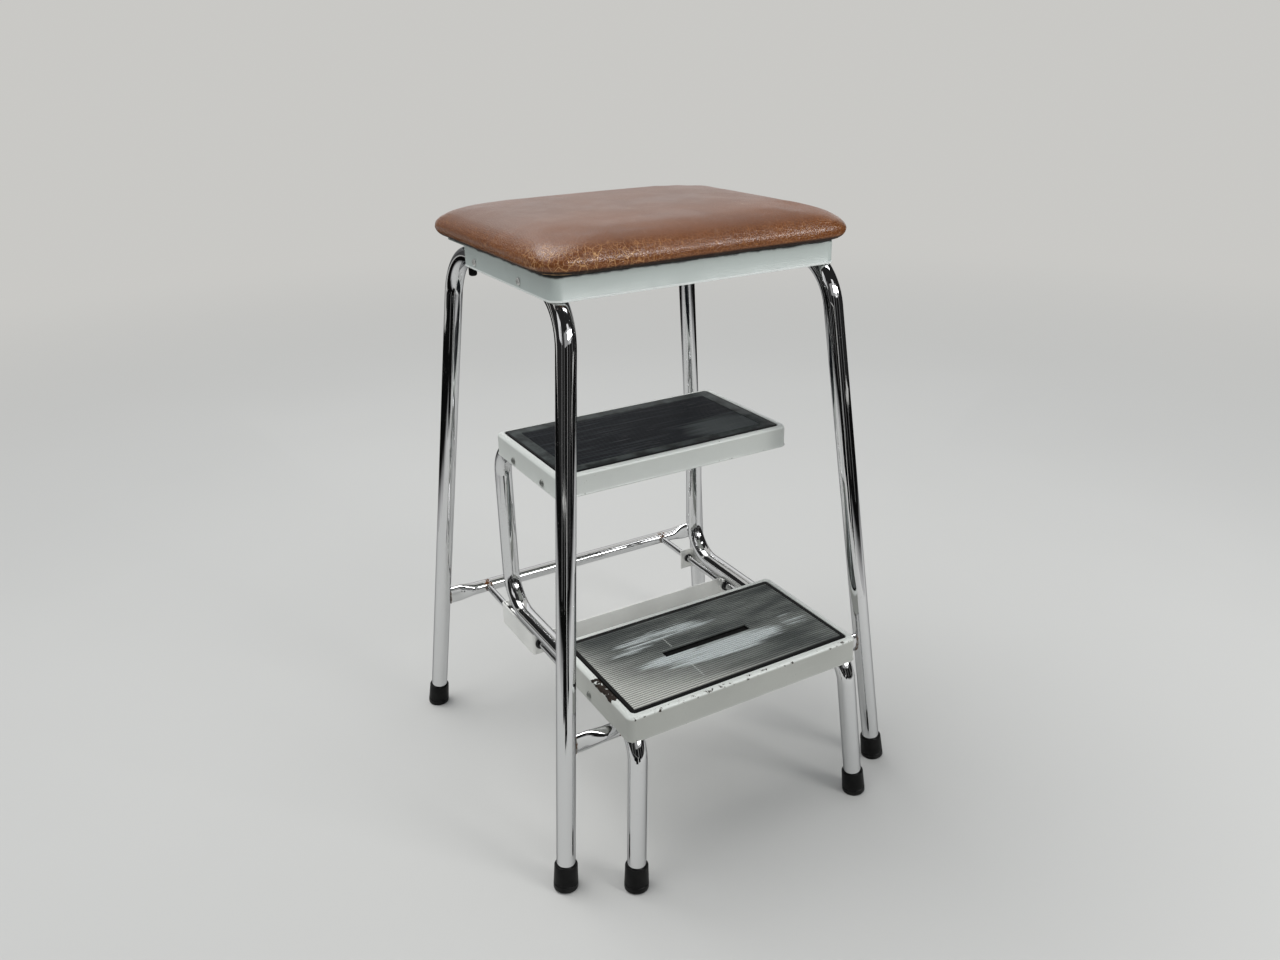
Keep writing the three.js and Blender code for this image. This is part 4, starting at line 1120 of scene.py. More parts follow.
for side_name, side in SIDES:
    node = side_name + "_frame_buffer"
    low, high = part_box(node)
    spot = Vector(((low.x + high.x) / 2, (low.y + high.y) / 2, low.z))
    radius = (high.x - low.x) / 2
    tall = high.z - low.z
    outline = [(POLE_R, 0), *arc(radius * 0.5, radius * 0.5, radius * 0.5, -90, 0)]
    outline += [(radius, tall), (POLE_R, tall)]
    small_turned(side_name + "_buffer_knob", outline, spot, UPWARDS, RUBBER, "stool", "rubber", node)

    node = side_name + "_tube_plug"
    low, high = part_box(node)
    spot = Vector((side * STEP_TUBE_X, low.y, STEP_TOP_Z))
    deep = high.y - low.y
    outline = [(POLE_R, 0), (TUBE_R - 1.2 * MM, 0), *arc(TUBE_R - MM, MM, MM, -90, 0), (TUBE_R, PLUG_CAP)]
    outline += [(PLUG_STEM_R, PLUG_CAP), (PLUG_STEM_R, deep), (POLE_R, deep)]
    small_turned(side_name + "_end_plug", outline, spot, BACKWARDS, PLASTIC, "step_unit", "plastic", node)

    for where_name, facing in [("web", -1), ("tab", 1)]:
        node = f"{side_name}_{where_name}_bushing"
        low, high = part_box(node)
        spot = Vector((side * STEP_TUBE_X, high.y if facing < 0 else low.y, CROSSBAR_Z))
        deep = high.y - low.y
        outline = [(BORE_R, 0), (BUSHING_R, 0), (BUSHING_R, deep - FLANGE), (FLANGE_R, deep - FLANGE)]
        outline += arc(FLANGE_R - 0.5 * MM, deep - 0.5 * MM, 0.5 * MM, 0, 90, 3)
        outline += [(BORE_R, deep), (BORE_R, 0)]
        axis = BACKWARDS * facing
        small_turned(node + "_ring", outline, spot, axis, PLASTIC, "step_unit", "plastic", node)

# %% [markdown]
# ## Pressed pans
# The seat pan and both step pans are sheet pressed into an upside-down tray: a flat top, an edge with a small
# radius, a straight skirt, and a bead rolled along its lower edge. Rounded rectangles, one for each point of
# that section, make the wall. Notches in the rear skirts, where the tubes come through, are cut afterwards.

# %% Pressed pans
SHEET = 1.2 * MM
PAN_EDGE_R = 4 * MM
PAN_BEAD = 1 * MM
BEAD_TOP = 2.6 * MM
CUT_PAST = 5 * MM
POCKET_DEPTH = 3 * MM
POCKET_SLOPE = 1 * MM
MAT_CORNER_R = 4 * MM
SEAT_CORNER_R = 12 * MM
STEP_CORNER_R = 8 * MM
REAR_CUT_X = 128 * MM
REAR_CUT_Y = 77 * MM


def pan_section(height):
    """(inset, height) pairs from the underside of the top, down inside and up outside, to the top."""
    inner = PAN_EDGE_R - SHEET
    quarter = [pi / 2 * k / 6 for k in range(7)]
    points = []
    for angle in reversed(quarter):
        points.append((PAN_EDGE_R - inner * cos(angle), height - PAN_EDGE_R + inner * sin(angle)))
    middle_inset = (SHEET - PAN_BEAD) / 2
    bead_r = (SHEET + PAN_BEAD) / 2
    for k in range(1, 9):
        angle = pi + pi * k / 8
        points.append((middle_inset - bead_r * cos(angle), bead_r + bead_r * sin(angle)))
    points.append((0, BEAD_TOP))
    for angle in quarter:
        points.append((PAN_EDGE_R - PAN_EDGE_R * cos(angle), height - PAN_EDGE_R + PAN_EDGE_R * sin(angle)))
    return points


def pocket_rings(mat_node, rim_z):
    """Rings of the pocket's underside, and of its wall from the rim down to the floor."""
    low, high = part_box(mat_node)
    floor_z = rim_z - POCKET_DEPTH

    def ring(out, z):
        return rounded_ring(low, high, MAT_CORNER_R, -GAP - out, z)

    under = [ring(SHEET, floor_z - SHEET), ring(SHEET + POCKET_SLOPE * 0.6, rim_z - SHEET)]
    wall = [
        ring(POCKET_SLOPE * 1.5, rim_z),
        ring(POCKET_SLOPE * 1.1, rim_z - 0.1 * MM),
        ring(POCKET_SLOPE * 0.8, rim_z - 0.4 * MM),
        ring(POCKET_SLOPE * 0.3, floor_z + 0.5 * MM),
        ring(0.0, floor_z),
    ]
    return under, wall


def pressed_pan(name, node, corner, cutters, material, mat_node=None):
    low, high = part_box(node)
    outer_low = Vector((low.x + PAN_BEAD, low.y + PAN_BEAD, low.z))
    outer_high = Vector((high.x - PAN_BEAD, high.y - PAN_BEAD, high.z))
    section = pan_section(high.z - low.z)
    rings = [rounded_ring(outer_low, outer_high, corner, inset, low.z + z) for inset, z in section]
    if mat_node:
        under, wall = pocket_rings(mat_node, high.z)
        rings = under + rings + wall
    pan = piece_of(name, ring_mesh(name, rings), material)
    cut_away(pan, [joined("pan_cutter", cutters)])
    shade(pan.data)
    return pan


def tube_notch(x, y, low_z, tube_z):
    """A slot from below up to a tube, with a round top that clears it."""
    half = TUBE_R + GAP
    crown = [(x + half * cos(pi * k / 16), tube_z + half * sin(pi * k / 16)) for k in range(17)]
    outline = [(x + half, low_z - CUT_PAST), *crown, (x - half, low_z - CUT_PAST)]
    ends = (y - CUT_PAST, y + CUT_PAST)
    return ring_mesh("notch", [[Vector((px, py, pz)) for px, pz in outline] for py in ends])


low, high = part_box("seat_pan")
rear_corners = []
for _, side in SIDES:
    xs = sorted((side * REAR_CUT_X, side * (high.x + CUT_PAST)))
    first = Vector((xs[0], REAR_CUT_Y + MIDDLE_Y, low.z - CUT_PAST))
    last = Vector((xs[1], high.y + CUT_PAST, high.z - PAN_EDGE_R))
    rear_corners.append(box_mesh(first, last))
seat_pan = pressed_pan("seat_pressing", "seat_pan", SEAT_CORNER_R, rear_corners, SEAT_PAINT)
stand_in(seat_pan, "stool", "seat_paint", "seat_pan")

for name, tube_z, material in [("lower", RUN_Z, LOWER_ENAMEL), ("middle", STEP_TOP_Z, MIDDLE_ENAMEL)]:
    node = name + "_step_pan"
    low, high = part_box(node)
    notches = [tube_notch(side * STEP_TUBE_X, high.y - PAN_BEAD, low.z, tube_z) for _, side in SIDES]
    pan = pressed_pan(name + "_step_pressing", node, STEP_CORNER_R, notches, material, name + "_step_mat")
    stand_in(pan, "step_unit", "step_enamel", node)

# %% [markdown]
# ## Geometry Nodes: ribs
# A mat's ribs are one small bar, repeated at a steady pitch. The tree puts the bar on points that carry a
# length, stretches each along its row, and joins them to the slab. Rows that meet the recess have two short
# ribs, one each side of it.

# %% The rib tree
rib_tree, (points, rib, slab, material) = geometry_tree("MatRibs", {"Rib": OBJECT, "Slab": OBJECT})
lengths = {"X": named_field(rib_tree, "length"), "Y": 1.0, "Z": 1.0}
stretch = made(rib_tree, "ShaderNodeCombineXYZ", "Vector", lengths)
copies = {"Points": points, "Instance": form_of(rib_tree, rib), "Scale": stretch}
bars = made(rib_tree, "GeometryNodeInstanceOnPoints", "Instances", copies)
both = rib_tree.nodes.new("GeometryNodeJoinGeometry")
for form in (bars, form_of(rib_tree, slab)):
    fill(rib_tree, both.inputs["Geometry"], form)
finish_tree(rib_tree, Value(both.outputs["Geometry"]), material)

# %% The mats
RIB_HEIGHT = 1 * MM
RIB_PITCH = 3.4 * MM
RIB_WIDTH = RIB_PITCH * 0.62
RIB_FOOT = -0.1 * MM
RIB_CLEAR = 0.6 * MM
RECESS_HALF_X = 54.5 * MM
RECESS_HALF_Y = 4.5 * MM
RECESS_DEPTH = 2.4 * MM


def rib_bar():
    """A rib one metre long, to be scaled: a low bar with sloping sides."""
    foot, crest, top = RIB_WIDTH / 2, RIB_WIDTH * 0.34, RIB_HEIGHT - 0.1 * MM
    outline = [(-foot, RIB_FOOT), (-crest, top), (crest, top), (foot, RIB_FOOT)]
    rings = [[Vector((x, y, z)) for y, z in outline] for x in (-0.5, 0.5)]
    return piece_of("rib", ring_mesh("rib", rings), RUBBER)


def rib_rows(low, high, border, recess):
    """(x, y, length) of each rib."""
    middle_y = (low.y + high.y) / 2
    count = int((high.y - low.y - 2 * border) / RIB_PITCH)
    half = high.x - border
    rows = []
    for k in range(count):
        y = middle_y + (k - (count - 1) / 2) * RIB_PITCH
        if recess and abs(y - middle_y) < RECESS_HALF_Y + RIB_PITCH / 2:
            length = half - RECESS_HALF_X - RIB_CLEAR
            rows += [(side * (RECESS_HALF_X + RIB_CLEAR + length / 2), y, length) for _, side in SIDES]
        else:
            rows.append((0.0, y, 2 * half))
    return rows


def slab_mesh(low, high, border):
    """The mat under its ribs, with a raised smooth border."""
    section = [
        (0.0, low.z),
        (0.0, high.z - 0.7 * MM),
        (0.2 * MM, high.z - 0.2 * MM),
        (0.7 * MM, high.z),
        (border - 0.4 * MM, high.z),
        (border, high.z - RIB_HEIGHT),
    ]
    return ring_mesh("slab", [rounded_ring(low, high, MAT_CORNER_R, inset, z) for inset, z in section])


def mat(name, slot, material, border, recess=False):
    node = name + "_step_mat"
    low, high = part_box(node)
    slab = piece_of("slab", slab_mesh(low, high, border), material)
    if recess:
        middle = (low + high) / 2
        half = Vector((RECESS_HALF_X, RECESS_HALF_Y))
        first = (*(middle.xy - half), high.z - RECESS_DEPTH)
        last = (*(middle.xy + half), high.z + CUT_PAST)
        cut_away(slab, [box_mesh(Vector(first), Vector(last))])
    rib = rib_bar()
    rows = rib_rows(low, high, border + 0.3 * MM, recess)
    points = bpy.data.meshes.new(name + "_rows")
    points.from_pydata([(x, y, high.z - RIB_HEIGHT) for x, y, _ in rows], [], [])
    length = points.attributes.new("length", "FLOAT", "POINT")
    length.data.foreach_set("value", [size for _, _, size in rows])
    values = {"Rib": rib, "Slab": slab, "Material": material}
    piece = grown(name + "_ribbed_mat", points, rib_tree, values)
    bpy.data.objects.remove(rib)
    bpy.data.objects.remove(slab)
    print(piece.name, "ribs:", len(rows))
    stand_in(piece, "step_unit", slot, node)


mat("lower", "worn_mat", WORN_MAT, LOWER_BORDER, recess=True)
mat("middle", "blue_mat", BLUE_MAT, MIDDLE_BORDER)

# %% [markdown]
# ## Geometry Nodes: screws
# The pans are held by raised-head screws with a cross in the head. One screw is modelled and a tree puts it on
# points that carry the way it faces, so that each group of screws becomes one piece.

# %% The screw tree
screw_tree, (points, screw, material) = geometry_tree("Screws", {"Screw": OBJECT})
facing = {"Vector": named_field(screw_tree, "facing", "FLOAT_VECTOR")}
aim = made(screw_tree, "FunctionNodeAlignEulerToVector", "Rotation", facing, axis="Z")
copies = {"Points": points, "Instance": form_of(screw_tree, screw), "Rotation": aim}
finish_tree(screw_tree, made(screw_tree, "GeometryNodeInstanceOnPoints", "Instances", copies), material)

# %% The screws
SCREW_R = 2 * MM
SCREW_HEAD_R = 3.8 * MM
THREAD = 0.9 * MM
THREAD_DEPTH = 0.35 * MM
POINT = 1.6 * MM
CROSS_HALF = 2.1 * MM
CROSS_WIDTH = 0.45 * MM


def screw_piece(length, head):
    """A raised head with a cross cut into it, and a shank with a few thread ridges."""
    dome = [(SCREW_HEAD_R * cos(pi / 2 * k / 8), head * sin(pi / 2 * k / 8)) for k in range(8)]
    ridges = []
    for k in range(int(length / THREAD) - 2):
        z = -length + POINT + k * THREAD
        ridges += [(SCREW_R - THREAD_DEPTH, z), (SCREW_R, z + THREAD / 2)]
    outline = [(0.3 * MM, -length), *ridges, (SCREW_R, -0.6 * MM), (SCREW_R, 0), *dome, (0.2 * MM, head)]
    body = piece_of("screw", turned("screw", outline, Vector(), UPWARDS, SMALL_SIDES), SCREW_STEEL)
    bars = []
    for x, y in [(CROSS_HALF, CROSS_WIDTH), (CROSS_WIDTH, CROSS_HALF)]:
        bars.append(box_mesh(Vector((-x, -y, head * 0.45)), Vector((x, y, head + MM))))
    cut_away(body, bars)
    return body


def screws(name, body, steel, nodes, head=2.2 * MM):
    """The screws of some nodes as one piece. Each faces out along its longest side."""
    places, ways = [], []
    for node in nodes:
        low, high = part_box(node)
        size = high - low
        middle = (low + high) / 2
        if size.z > size.x:
            places.append((middle.x, middle.y, low.z + head))
            ways += (0, 0, -1)
            length = size.z - head
        else:
            side = math.copysign(1, middle.x)
            outer = high.x if side > 0 else low.x
            places.append((outer - side * head, middle.y, middle.z))
            ways += (side, 0, 0)
            length = size.x - head
    one = screw_piece(length, head)
    points = bpy.data.meshes.new(name + "_places")
    points.from_pydata(places, [], [])
    facing = points.attributes.new("facing", "FLOAT_VECTOR", "POINT")
    facing.data.foreach_set("vector", ways)
    piece = grown(name, points, screw_tree, {"Screw": one, "Material": steel})
    bpy.data.objects.remove(one)
    stand_in(piece, body, "screw", *nodes)


def screw_nodes(group):
    return [f"{side}_{group}_{end}_screw" for side, _ in SIDES for end, _ in ENDS]


board_nodes = [f"board_screw_{k}" for k in range(1, 5)]
step_nodes = screw_nodes("lower") + screw_nodes("middle")
screws("seat_skirt_screws", "stool", SCREW_STEEL, screw_nodes("pan"))
screws("seat_board_screws", "stool", SCREW_STEEL, board_nodes, head=1.8 * MM)
screws("step_skirt_screws", "step_unit", DULL_SCREWS, step_nodes)

# %% [markdown]
# ## Slide bracket
# The bracket is one strip of sheet, bent into a U with a tab turned in at each end. Its solid already has the
# right bends and holes, so a copy of it is merged, its flat triangles are joined into larger faces, and its
# edges get a fine bevel, because no sheared edge is perfectly sharp.


# %% The bracket
def softened(name, node, material, width=0.25 * MM, limit=0.5):
    """A copy of a node's mesh with its edges bevelled."""
    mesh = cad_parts[node].data.copy()
    work = bmesh.new()
    work.from_mesh(mesh)
    bmesh.ops.remove_doubles(work, verts=work.verts, dist=0.01 * MM)
    bmesh.ops.dissolve_limit(work, angle_limit=0.02, verts=work.verts, edges=work.edges)
    sharp = [edge for edge in work.edges if len(edge.link_faces) == 2 and edge.calc_face_angle() > limit]
    bmesh.ops.bevel(work, geom=sharp, offset=width, segments=2, affect="EDGES", clamp_overlap=True)
    work.to_mesh(mesh)
    work.free()
    for layer in list(mesh.attributes):
        if layer.name == "custom_normal":
            mesh.attributes.remove(layer)
    shade(mesh, 0.7)
    return piece_of(name, mesh, material)


bracket = softened("slide_bracket_strip", "slide_bracket", BRACKET_STEEL)
stand_in(bracket, "step_unit", "bracket_steel", "slide_bracket")

# %% [markdown]
# ## Cushion
# The seat is foam on a board, under a cover that is drawn round the edges and fastened underneath. The form
# starts as rings: a tuck under the widest line, a side with a large round, and a low crown. A cloth simulation
# with a little pressure then lets the cover settle as a stretched skin does, with its underside held. Last come
# the gathers at the corners, where the cover is folded under.

# %% The cushion's form
COVER = 1.2 * MM
TUCK = 7 * MM
TUCK_HEIGHT = 10 * MM
SIDE_HEIGHT = 21 * MM
ROUND = 31 * MM
CROWN = 1.8 * MM
CUSHION_CORNER_R = 32 * MM
TOP_CORNER_R = 46 * MM
CORNER_DROP = 7 * MM
DROP_POWER = 3.5
HEM = 24 * MM
BULGE = 1.5 * MM
VOXEL = 5 * MM


def corner_drop(x, y, z, low, high):
    """How far the cover, drawn tight over a corner, squashes the foam there."""
    rise = max(0.0, z - low.z - TUCK_HEIGHT) / (high.z - low.z - TUCK_HEIGHT)
    share_x = abs(2 * x - low.x - high.x) / (high.x - low.x)
    share_y = abs(2 * y - low.y - high.y) / (high.y - low.y)
    return CORNER_DROP * rise * (share_x * share_y) ** DROP_POWER


def crown_at(x, y, low, high):
    across = (x - (low.x + high.x) / 2) / ((high.x - low.x) / 2 - ROUND)
    along = (y - (low.y + high.y) / 2) / ((high.y - low.y) / 2 - ROUND)
    return CROWN * (1 - across * across) * (1 - along * along)


def cushion_rings(low, high, depth, from_z):
    """Rings of the cushion's surface, at a depth under its outside."""
    widest = low.z + TUCK_HEIGHT
    rings = []
    if from_z <= widest:
        for k in range(6):
            angle = pi / 2 * k / 5
            inset = TUCK - (TUCK - depth) * sin(angle)
            rings.append((inset, widest - (widest - from_z) * cos(angle)))
    tall = SIDE_HEIGHT - depth
    start = math.asin(max(0.0, from_z - widest) / tall)
    for k in range(1 if rings else 0, 13):
        angle = start + (pi / 2 - start) * k / 12
        rings.append((ROUND - (ROUND - depth) * cos(angle), widest + tall * sin(angle)))
    made_rings = []
    for inset, z in rings:
        share = min(1.0, max(0.0, inset / ROUND)) if z > widest else 0.0
        corner = CUSHION_CORNER_R + (TOP_CORNER_R - CUSHION_CORNER_R) * share
        made_rings.append(rounded_ring(low, high, corner + inset, inset, z, 12))
    rim = made_rings[-1]
    middle = (low + high) / 2
    for k in range(1, 9):
        share = 1 - k / 8.5
        ring = []
        for point in rim:
            x = middle.x + (point.x - middle.x) * share
            y = middle.y + (point.y - middle.y) * share
            ring.append(Vector((x, y, rim[0].z + crown_at(x, y, low, high))))
        made_rings.append(ring)
    for ring in made_rings:
        for point in ring:
            point.z -= corner_drop(point.x, point.y, point.z, low, high)
    return made_rings


low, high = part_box("seat_cover")
widest_z = low.z + TUCK_HEIGHT
outwards = Vector((BULGE, BULGE, 0))
rings = cushion_rings(low - outwards, high + outwards, 0.0, low.z)
cover = piece_of("cushion_cover", ring_mesh("cushion_cover", rings), LEATHERETTE)
even = cover.modifiers.new("even", "REMESH")
even.mode = "VOXEL"
even.voxel_size = VOXEL
freeze(cover)
print("cushion form:", len(cover.data.polygons), "faces")

# %% Let the cover settle as cloth
MOST_MOVE = 3 * MM
SIM_FRAMES = 20
EVENING = 8
CLOTH = {
    "vertex_group_mass": "held",
    "quality": 4,
    "mass": 0.4,
    "tension_stiffness": 20,
    "compression_stiffness": 20,
    "bending_stiffness": 2,
    "use_pressure": True,
    "uniform_pressure_force": 4,
}


def evened(moves, mesh):
    """Each move drawn halfway to the mean of its neighbours' moves, so that the cap leaves no ridge."""
    total = [Vector() for _ in moves]
    count = [0] * len(moves)
    for edge in mesh.edges:
        a, b = edge.vertices
        total[a] += moves[b]
        total[b] += moves[a]
        count[a] += 1
        count[b] += 1
    return [(move + around_it / max(1, n)) / 2 for move, around_it, n in zip(moves, total, count)]


def settle_as_cloth(form, held_below):
    """Cloth with a little pressure. Points below a height are held, the foam stops the rest moving inwards,
    and none moves further than the cap."""
    before = [vertex.co.copy() for vertex in form.data.vertices]
    outwards = [vertex.normal.copy() for vertex in form.data.vertices]
    held = form.vertex_groups.new(name="held")
    held.add([i for i, point in enumerate(before) if point.z < held_below], 1.0, "REPLACE")
    cloth = form.modifiers.new("settle", "CLOTH")
    for setting, value in CLOTH.items():
        setattr(cloth.settings, setting, value)
    cloth.settings.effector_weights.gravity = 0
    cloth.point_cache.frame_end = SIM_FRAMES
    for step in range(1, SIM_FRAMES + 1):
        scene.frame_set(step)
    seen = form.evaluated_get(bpy.context.evaluated_depsgraph_get())
    after = [vertex.co.copy() for vertex in seen.data.vertices]
    form.modifiers.clear()
    scene.frame_set(1)
    moves = []
    for old, new, out in zip(before, after, outwards):
        move = new - old
        move -= out * min(0.0, move.dot(out))
        if move.length > MOST_MOVE:
            move = move.normalized() * MOST_MOVE
        moves.append(move)
    for _ in range(EVENING):
        moves = evened(moves, form.data)
    for vertex, old, move in zip(form.data.vertices, before, moves):
        vertex.co = old + move
    print("cover moved by at most, mm:", round(max(move.length for move in moves) / MM, 2))


settle_as_cloth(cover, widest_z)

# %% Gathers at the corners
GATHER = 0.9 * MM
GATHER_FOLDS = 26
WAVE = 1.4 * MM
GATHER_TOP = widest_z + 7 * MM
GATHER_FADE = 9 * MM


def corner_share(x, y, low, high):
    """1 on the diagonal of a corner, and 0 along the straight sides."""
    reach = CUSHION_CORNER_R * 1.5
    dx = max(0.0, abs(x - (low.x + high.x) / 2) - ((high.x - low.x) / 2 - reach)) / reach
    dy = max(0.0, abs(y - (low.y + high.y) / 2) - ((high.y - low.y) / 2 - reach)) / reach
    return min(1.0, 2.2 * min(dx, dy))


def gather(form, low, high):
    middle = (low + high) / 2
    corner = (high - low) / 2 - Vector((CUSHION_CORNER_R, CUSHION_CORNER_R, 0))
    for vertex in form.data.vertices:
        x, y, z = vertex.co
        below = max(0.0, min(1.0, (GATHER_TOP - z) / GATHER_FADE))
        if z > low.z + MM:
            ripple = 0.5 + noise.noise(Vector((x * 22, y * 22, 0)))
            vertex.co.z += WAVE * below * max(0.0, min(1.0, ripple))
        share = corner_share(x, y, low, high)
        if share <= 0:
            continue
        angle = math.atan2(abs(y - middle.y) - corner.y, abs(x - middle.x) - corner.x)
        fold = sin(angle * GATHER_FOLDS + 2 * noise.noise(vertex.co * 30))
        out = Vector((x - middle.x, y - middle.y, 0)).normalized()
        vertex.co -= out * (GATHER * share * below * (0.5 + 0.5 * fold))


gather(cover, low, high)
print("gathers:", GATHER_FOLDS, "folds to a turn")

# %% The cover's open underside and its thickness
work = bmesh.new()
work.from_mesh(cover.data)
open_half = (high - low) / 2 - Vector((HEM, HEM, 0))
centre = (low + high) / 2
under = []
for face in work.faces:
    spot = face.calc_center_median()
    away = spot - centre
    if spot.z < low.z + MM and abs(away.x) < open_half.x and abs(away.y) < open_half.y:
        under.append(face)
bmesh.ops.delete(work, geom=under, context="FACES")
work.to_mesh(cover.data)
work.free()
thick = cover.modifiers.new("thickness", "SOLIDIFY")
thick.thickness = COVER
thick.offset = -1
smooth = cover.modifiers.new("smooth", "SUBSURF")
smooth.levels = 1
smooth.render_levels = 1
freeze(cover)
cover.vertex_groups.clear()
for polygon in cover.data.polygons:
    polygon.use_smooth = True
stand_in(cover, "stool", "leatherette", "seat_cover")

# %% Foam and board under the cover
FOAM_DEPTH = 3 * MM
foam_rings = cushion_rings(low, high, FOAM_DEPTH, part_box("seat_foam")[0].z)
foam_block = piece_of("cushion_foam", ring_mesh("cushion_foam", foam_rings), FOAM)
stand_in(foam_block, "stool", "foam", "seat_foam")

board = softened("cushion_board", "seat_board", PLYWOOD, 0.4 * MM)
stand_in(board, "stool", "plywood", "seat_board")

# %% [markdown]
# ## Studio
# The photograph was taken on a pale floor with a pale wall behind, in a room that is dark round the camera.
# Bright metal shows that room: its tubes are pale at their edges, where they mirror the wall, and black down
# the middle, where they mirror the dark. So the floor and the wall are pale to the camera, and cards that only
# reflections see stand for the dark room, its windows and its lamps.

# %% Floor
FLOOR_REACH = 7.0
BACKDROP = (0.585, 0.58, 0.56)
FLOOR_DARK = (0.58, 0.575, 0.555)
FLOOR_PALE = (0.61, 0.605, 0.585)

work = bmesh.new()
bmesh.ops.create_circle(work, cap_ends=True, segments=96, radius=FLOOR_REACH)
floor_mesh = bpy.data.meshes.new("studio_floor")
work.to_mesh(floor_mesh)
work.free()
floor_material, shader, where = new_material("studio_floor")
color = mix(noise_at(where, 1.6), FLOOR_DARK, FLOOR_PALE)
feed(shader, color=color, rough=0.85, specular=0.2)
tree = where.tree
fade = ramp(vector_math("LENGTH", where), 1.0, 3.6)
glow = made(tree, "ShaderNodeEmission", "Emission", {"Color": BACKDROP, "Strength": 1.0})
parts = {0: fade, 1: Value(shader.outputs["BSDF"]), 2: glow}
surface = tree.nodes["Material Output"].inputs["Surface"]
fill(tree, surface, made(tree, "ShaderNodeMixShader", "Shader", parts))
floor = piece_of("studio_floor", floor_mesh, floor_material)
floor.location.z = FLOOR_Z - 0.2 * MM

# %% World
SOFT_LIGHT = (0.92, 0.96, 1.0)
world = bpy.data.worlds.new("studio")
scene.world = world
world.use_nodes = True
tree = world.node_tree
path = tree.nodes.new("ShaderNodeLightPath").outputs
seen_share = maximum(Value(path["Is Camera Ray"]), Value(path["Is Glossy Ray"]))
seen_share = maximum(seen_share, Value(path["Is Transmission Ray"]))
plain = made(tree, "ShaderNodeBackground", "Background", {"Color": BACKDROP, "Strength": 1.0})
soft = made(tree, "ShaderNodeBackground", "Background", {"Color": SOFT_LIGHT, "Strength": 0.5})
surface = tree.nodes["World Output"].inputs["Surface"]
fill(tree, surface, made(tree, "ShaderNodeMixShader", "Shader", {0: seen_share, 1: soft, 2: plain}))
print("world:", world.name)

# %% Lamps
AIM = Vector((0, 0, 0.35))


def placed_lamp(name, kind, spot, power, **settings):
    lamp = bpy.data.lights.new(name, kind)
    lamp.energy = power
    for key, value in settings.items():
        setattr(lamp, key, value)
    holder = linked(name, lamp)
    way = AIM - Vector(spot)
    holder.matrix_world = Matrix.Translation(spot) @ way.to_track_quat("-Z", "Y").to_matrix().to_4x4()
    return holder


placed_lamp("sun", "SUN", (-0.7, 0.5, 2.2), 1.1, angle=math.radians(50))
placed_lamp("top_box", "AREA", (-0.3, 0.9, 2.0), 10, shape="RECTANGLE", size=1.2, size_y=0.9)
front_box = placed_lamp("front_box", "AREA", (1.0, -1.9, 1.3), 15.5, shape="RECTANGLE", size=0.7, size_y=1.1)
front_box.visible_glossy = False
print("lamps:", len(bpy.data.lights))

# %% The dark floor round the stool
DARK = 0.004
DARK_FAR = 3.2
CARD_Z = 2 * MM
FADE = 0.4
FLOOR_GREY = 0.5
SECTOR_STEPS = 6
# First and last bearing, the radius where the dark begins, and whether it comes on slowly
DARK_SECTORS = [
    (-262, -190, 0.95, True),
    (-190, -146, 0.84, True),
    (-146, -132, 0.78, False),
    (-132, -116, 0.66, False),
    (-112, -98, 0.74, False),
    (-98, -30, 0.86, True),
    (-30, 28, 1.05, True),
    (28, 98, 1.4, True),
]


def card(name, corners, grey=DARK, fade_from=None):
    """A card between four corners that only reflections see. It gives off its own grey, and with fade_from
    it is as pale as the floor at that distance and reaches its grey over the next stretch."""
    mesh = bpy.data.meshes.new(name)
    mesh.from_pydata(corners, [], [(0, 1, 2, 3)])
    material, shader, where = new_material(name)
    feed(shader, color=(0, 0, 0), rough=1.0, specular=0.0, glow=(grey, grey, grey), glow_strength=1.0)
    if fade_from is not None:
        far = vector_math("LENGTH", where)
        feed(shader, glow=ramp(far, fade_from, fade_from + FADE, FLOOR_GREY, grey))
    if grey < 1:
        material.cycles.emission_sampling = "NONE"
    piece = piece_of(name, mesh, material)
    piece.visible_camera = False
    piece.visible_diffuse = False
    piece.visible_shadow = False
    piece.visible_transmission = False


def around(degrees, radius):
    angle = math.radians(degrees)
    return (radius * cos(angle), radius * sin(angle), CARD_Z)


for k, (first, last, near, slowly) in enumerate(DARK_SECTORS):
    for j in range(SECTOR_STEPS):
        a = first + (last - first) * j / SECTOR_STEPS
        b = first + (last - first) * (j + 1) / SECTOR_STEPS
        corners = [around(a, near), around(a, DARK_FAR), around(b, DARK_FAR), around(b, near)]
        card(f"dark_floor_{k}_{j}", corners, fade_from=near if slowly else None)
print("floor cards:", len(DARK_SECTORS) * SECTOR_STEPS)

# %% The room that the metal mirrors
ROOM = 3.0
ROOM_TOP = 2.6
ROOM_BACK = {"left": 2.4, "right": 1.3}
BACK_Y = 2.7
POST_AWAY = 1.5
POST_TURN = 4
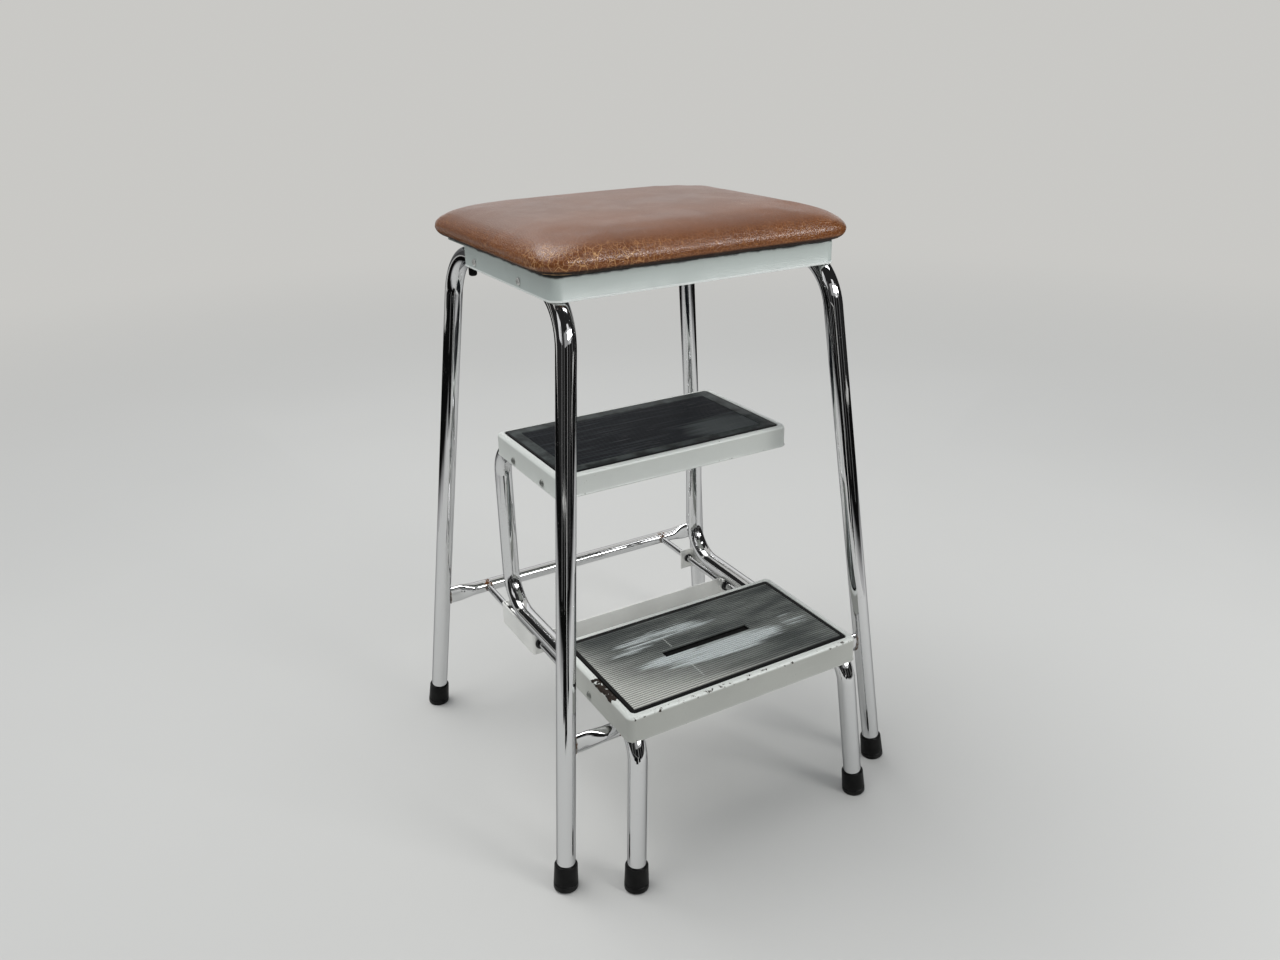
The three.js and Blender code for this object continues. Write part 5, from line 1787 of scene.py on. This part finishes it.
# Name, (x, y) of both ends, the lower and upper height at each end, and grey
LIGHTS = [
    ("front_window", (0.2, -2.4), (1.2, -2.4), (0.9, 2.5), (0.9, 2.5), 0.9),
    ("left_window", (-2.4, -1.3), (-2.4, -0.1), (0.9, 2.5), (0.9, 2.5), 0.8),
    ("strip", (0.0, -2.35), (3.0, -2.35), (1.2, 1.75), (1.35, 1.95), 13.0),
    ("strip_glow", (-2.0, -2.6), (3.2, -2.6), (0.9, 2.05), (1.1, 2.35), 0.35),
]
DARK_BACKS = [(-3.0, -1.3, 0.02), (-1.3, -0.8, 0.08), (-0.8, -0.3, 0.2), (-0.3, 0.2, 0.38)]
DOORPOSTS = [(-158, 0.2), (-136, 0.12), (-107, 0.3), (-84, 0.12), (-55, 0.2)]


def upright(first, last, heights, last_heights=None):
    """Corners of an upright card from one (x, y) to another, each with a lower and an upper height."""
    low, high = heights
    last_low, last_high = last_heights or heights
    return [(*first, low), (*last, last_low), (*last, last_high), (*first, high)]


for name, first, last, heights, last_heights, grey in LIGHTS:
    card(name, upright(first, last, heights, last_heights), grey)
card("ceiling_light", [(0.3, -1.1, 2.5), (1.8, -1.1, 2.5), (1.8, -0.8, 2.5), (0.3, -0.8, 2.5)], 4.0)
card("pale_wall", upright((0.3, 2.6), (2.9, 2.2), (0.5, 2.2)), 0.95)
for first, last, grey in DARK_BACKS:
    card(f"dark_back_{first}", upright((first, BACK_Y), (last, BACK_Y), (0.3, 2.6)), grey)
for k, (bearing, grey) in enumerate(DOORPOSTS):
    first, last = around(bearing, POST_AWAY)[:2], around(bearing + POST_TURN, POST_AWAY)[:2]
    card(f"doorpost_{k}", upright(first, last, (0.01, 1.3)), grey)
card("room_front", upright((-ROOM, -ROOM), (ROOM, -ROOM), (0, ROOM_TOP)), 0.01)
ceiling = [(-ROOM, -ROOM, ROOM_TOP), (ROOM, -ROOM, ROOM_TOP), (ROOM, 0.2, ROOM_TOP), (-ROOM, 0.2, ROOM_TOP)]
card("room_top", ceiling, 0.02)
for side_name, side in SIDES:
    x = side * ROOM
    card(f"room_{side_name}", upright((x, -ROOM), (x, ROOM_BACK[side_name]), (0, ROOM_TOP)), 0.02)
scene.view_settings.view_transform = "Standard"
print("materials:", len(bpy.data.materials))
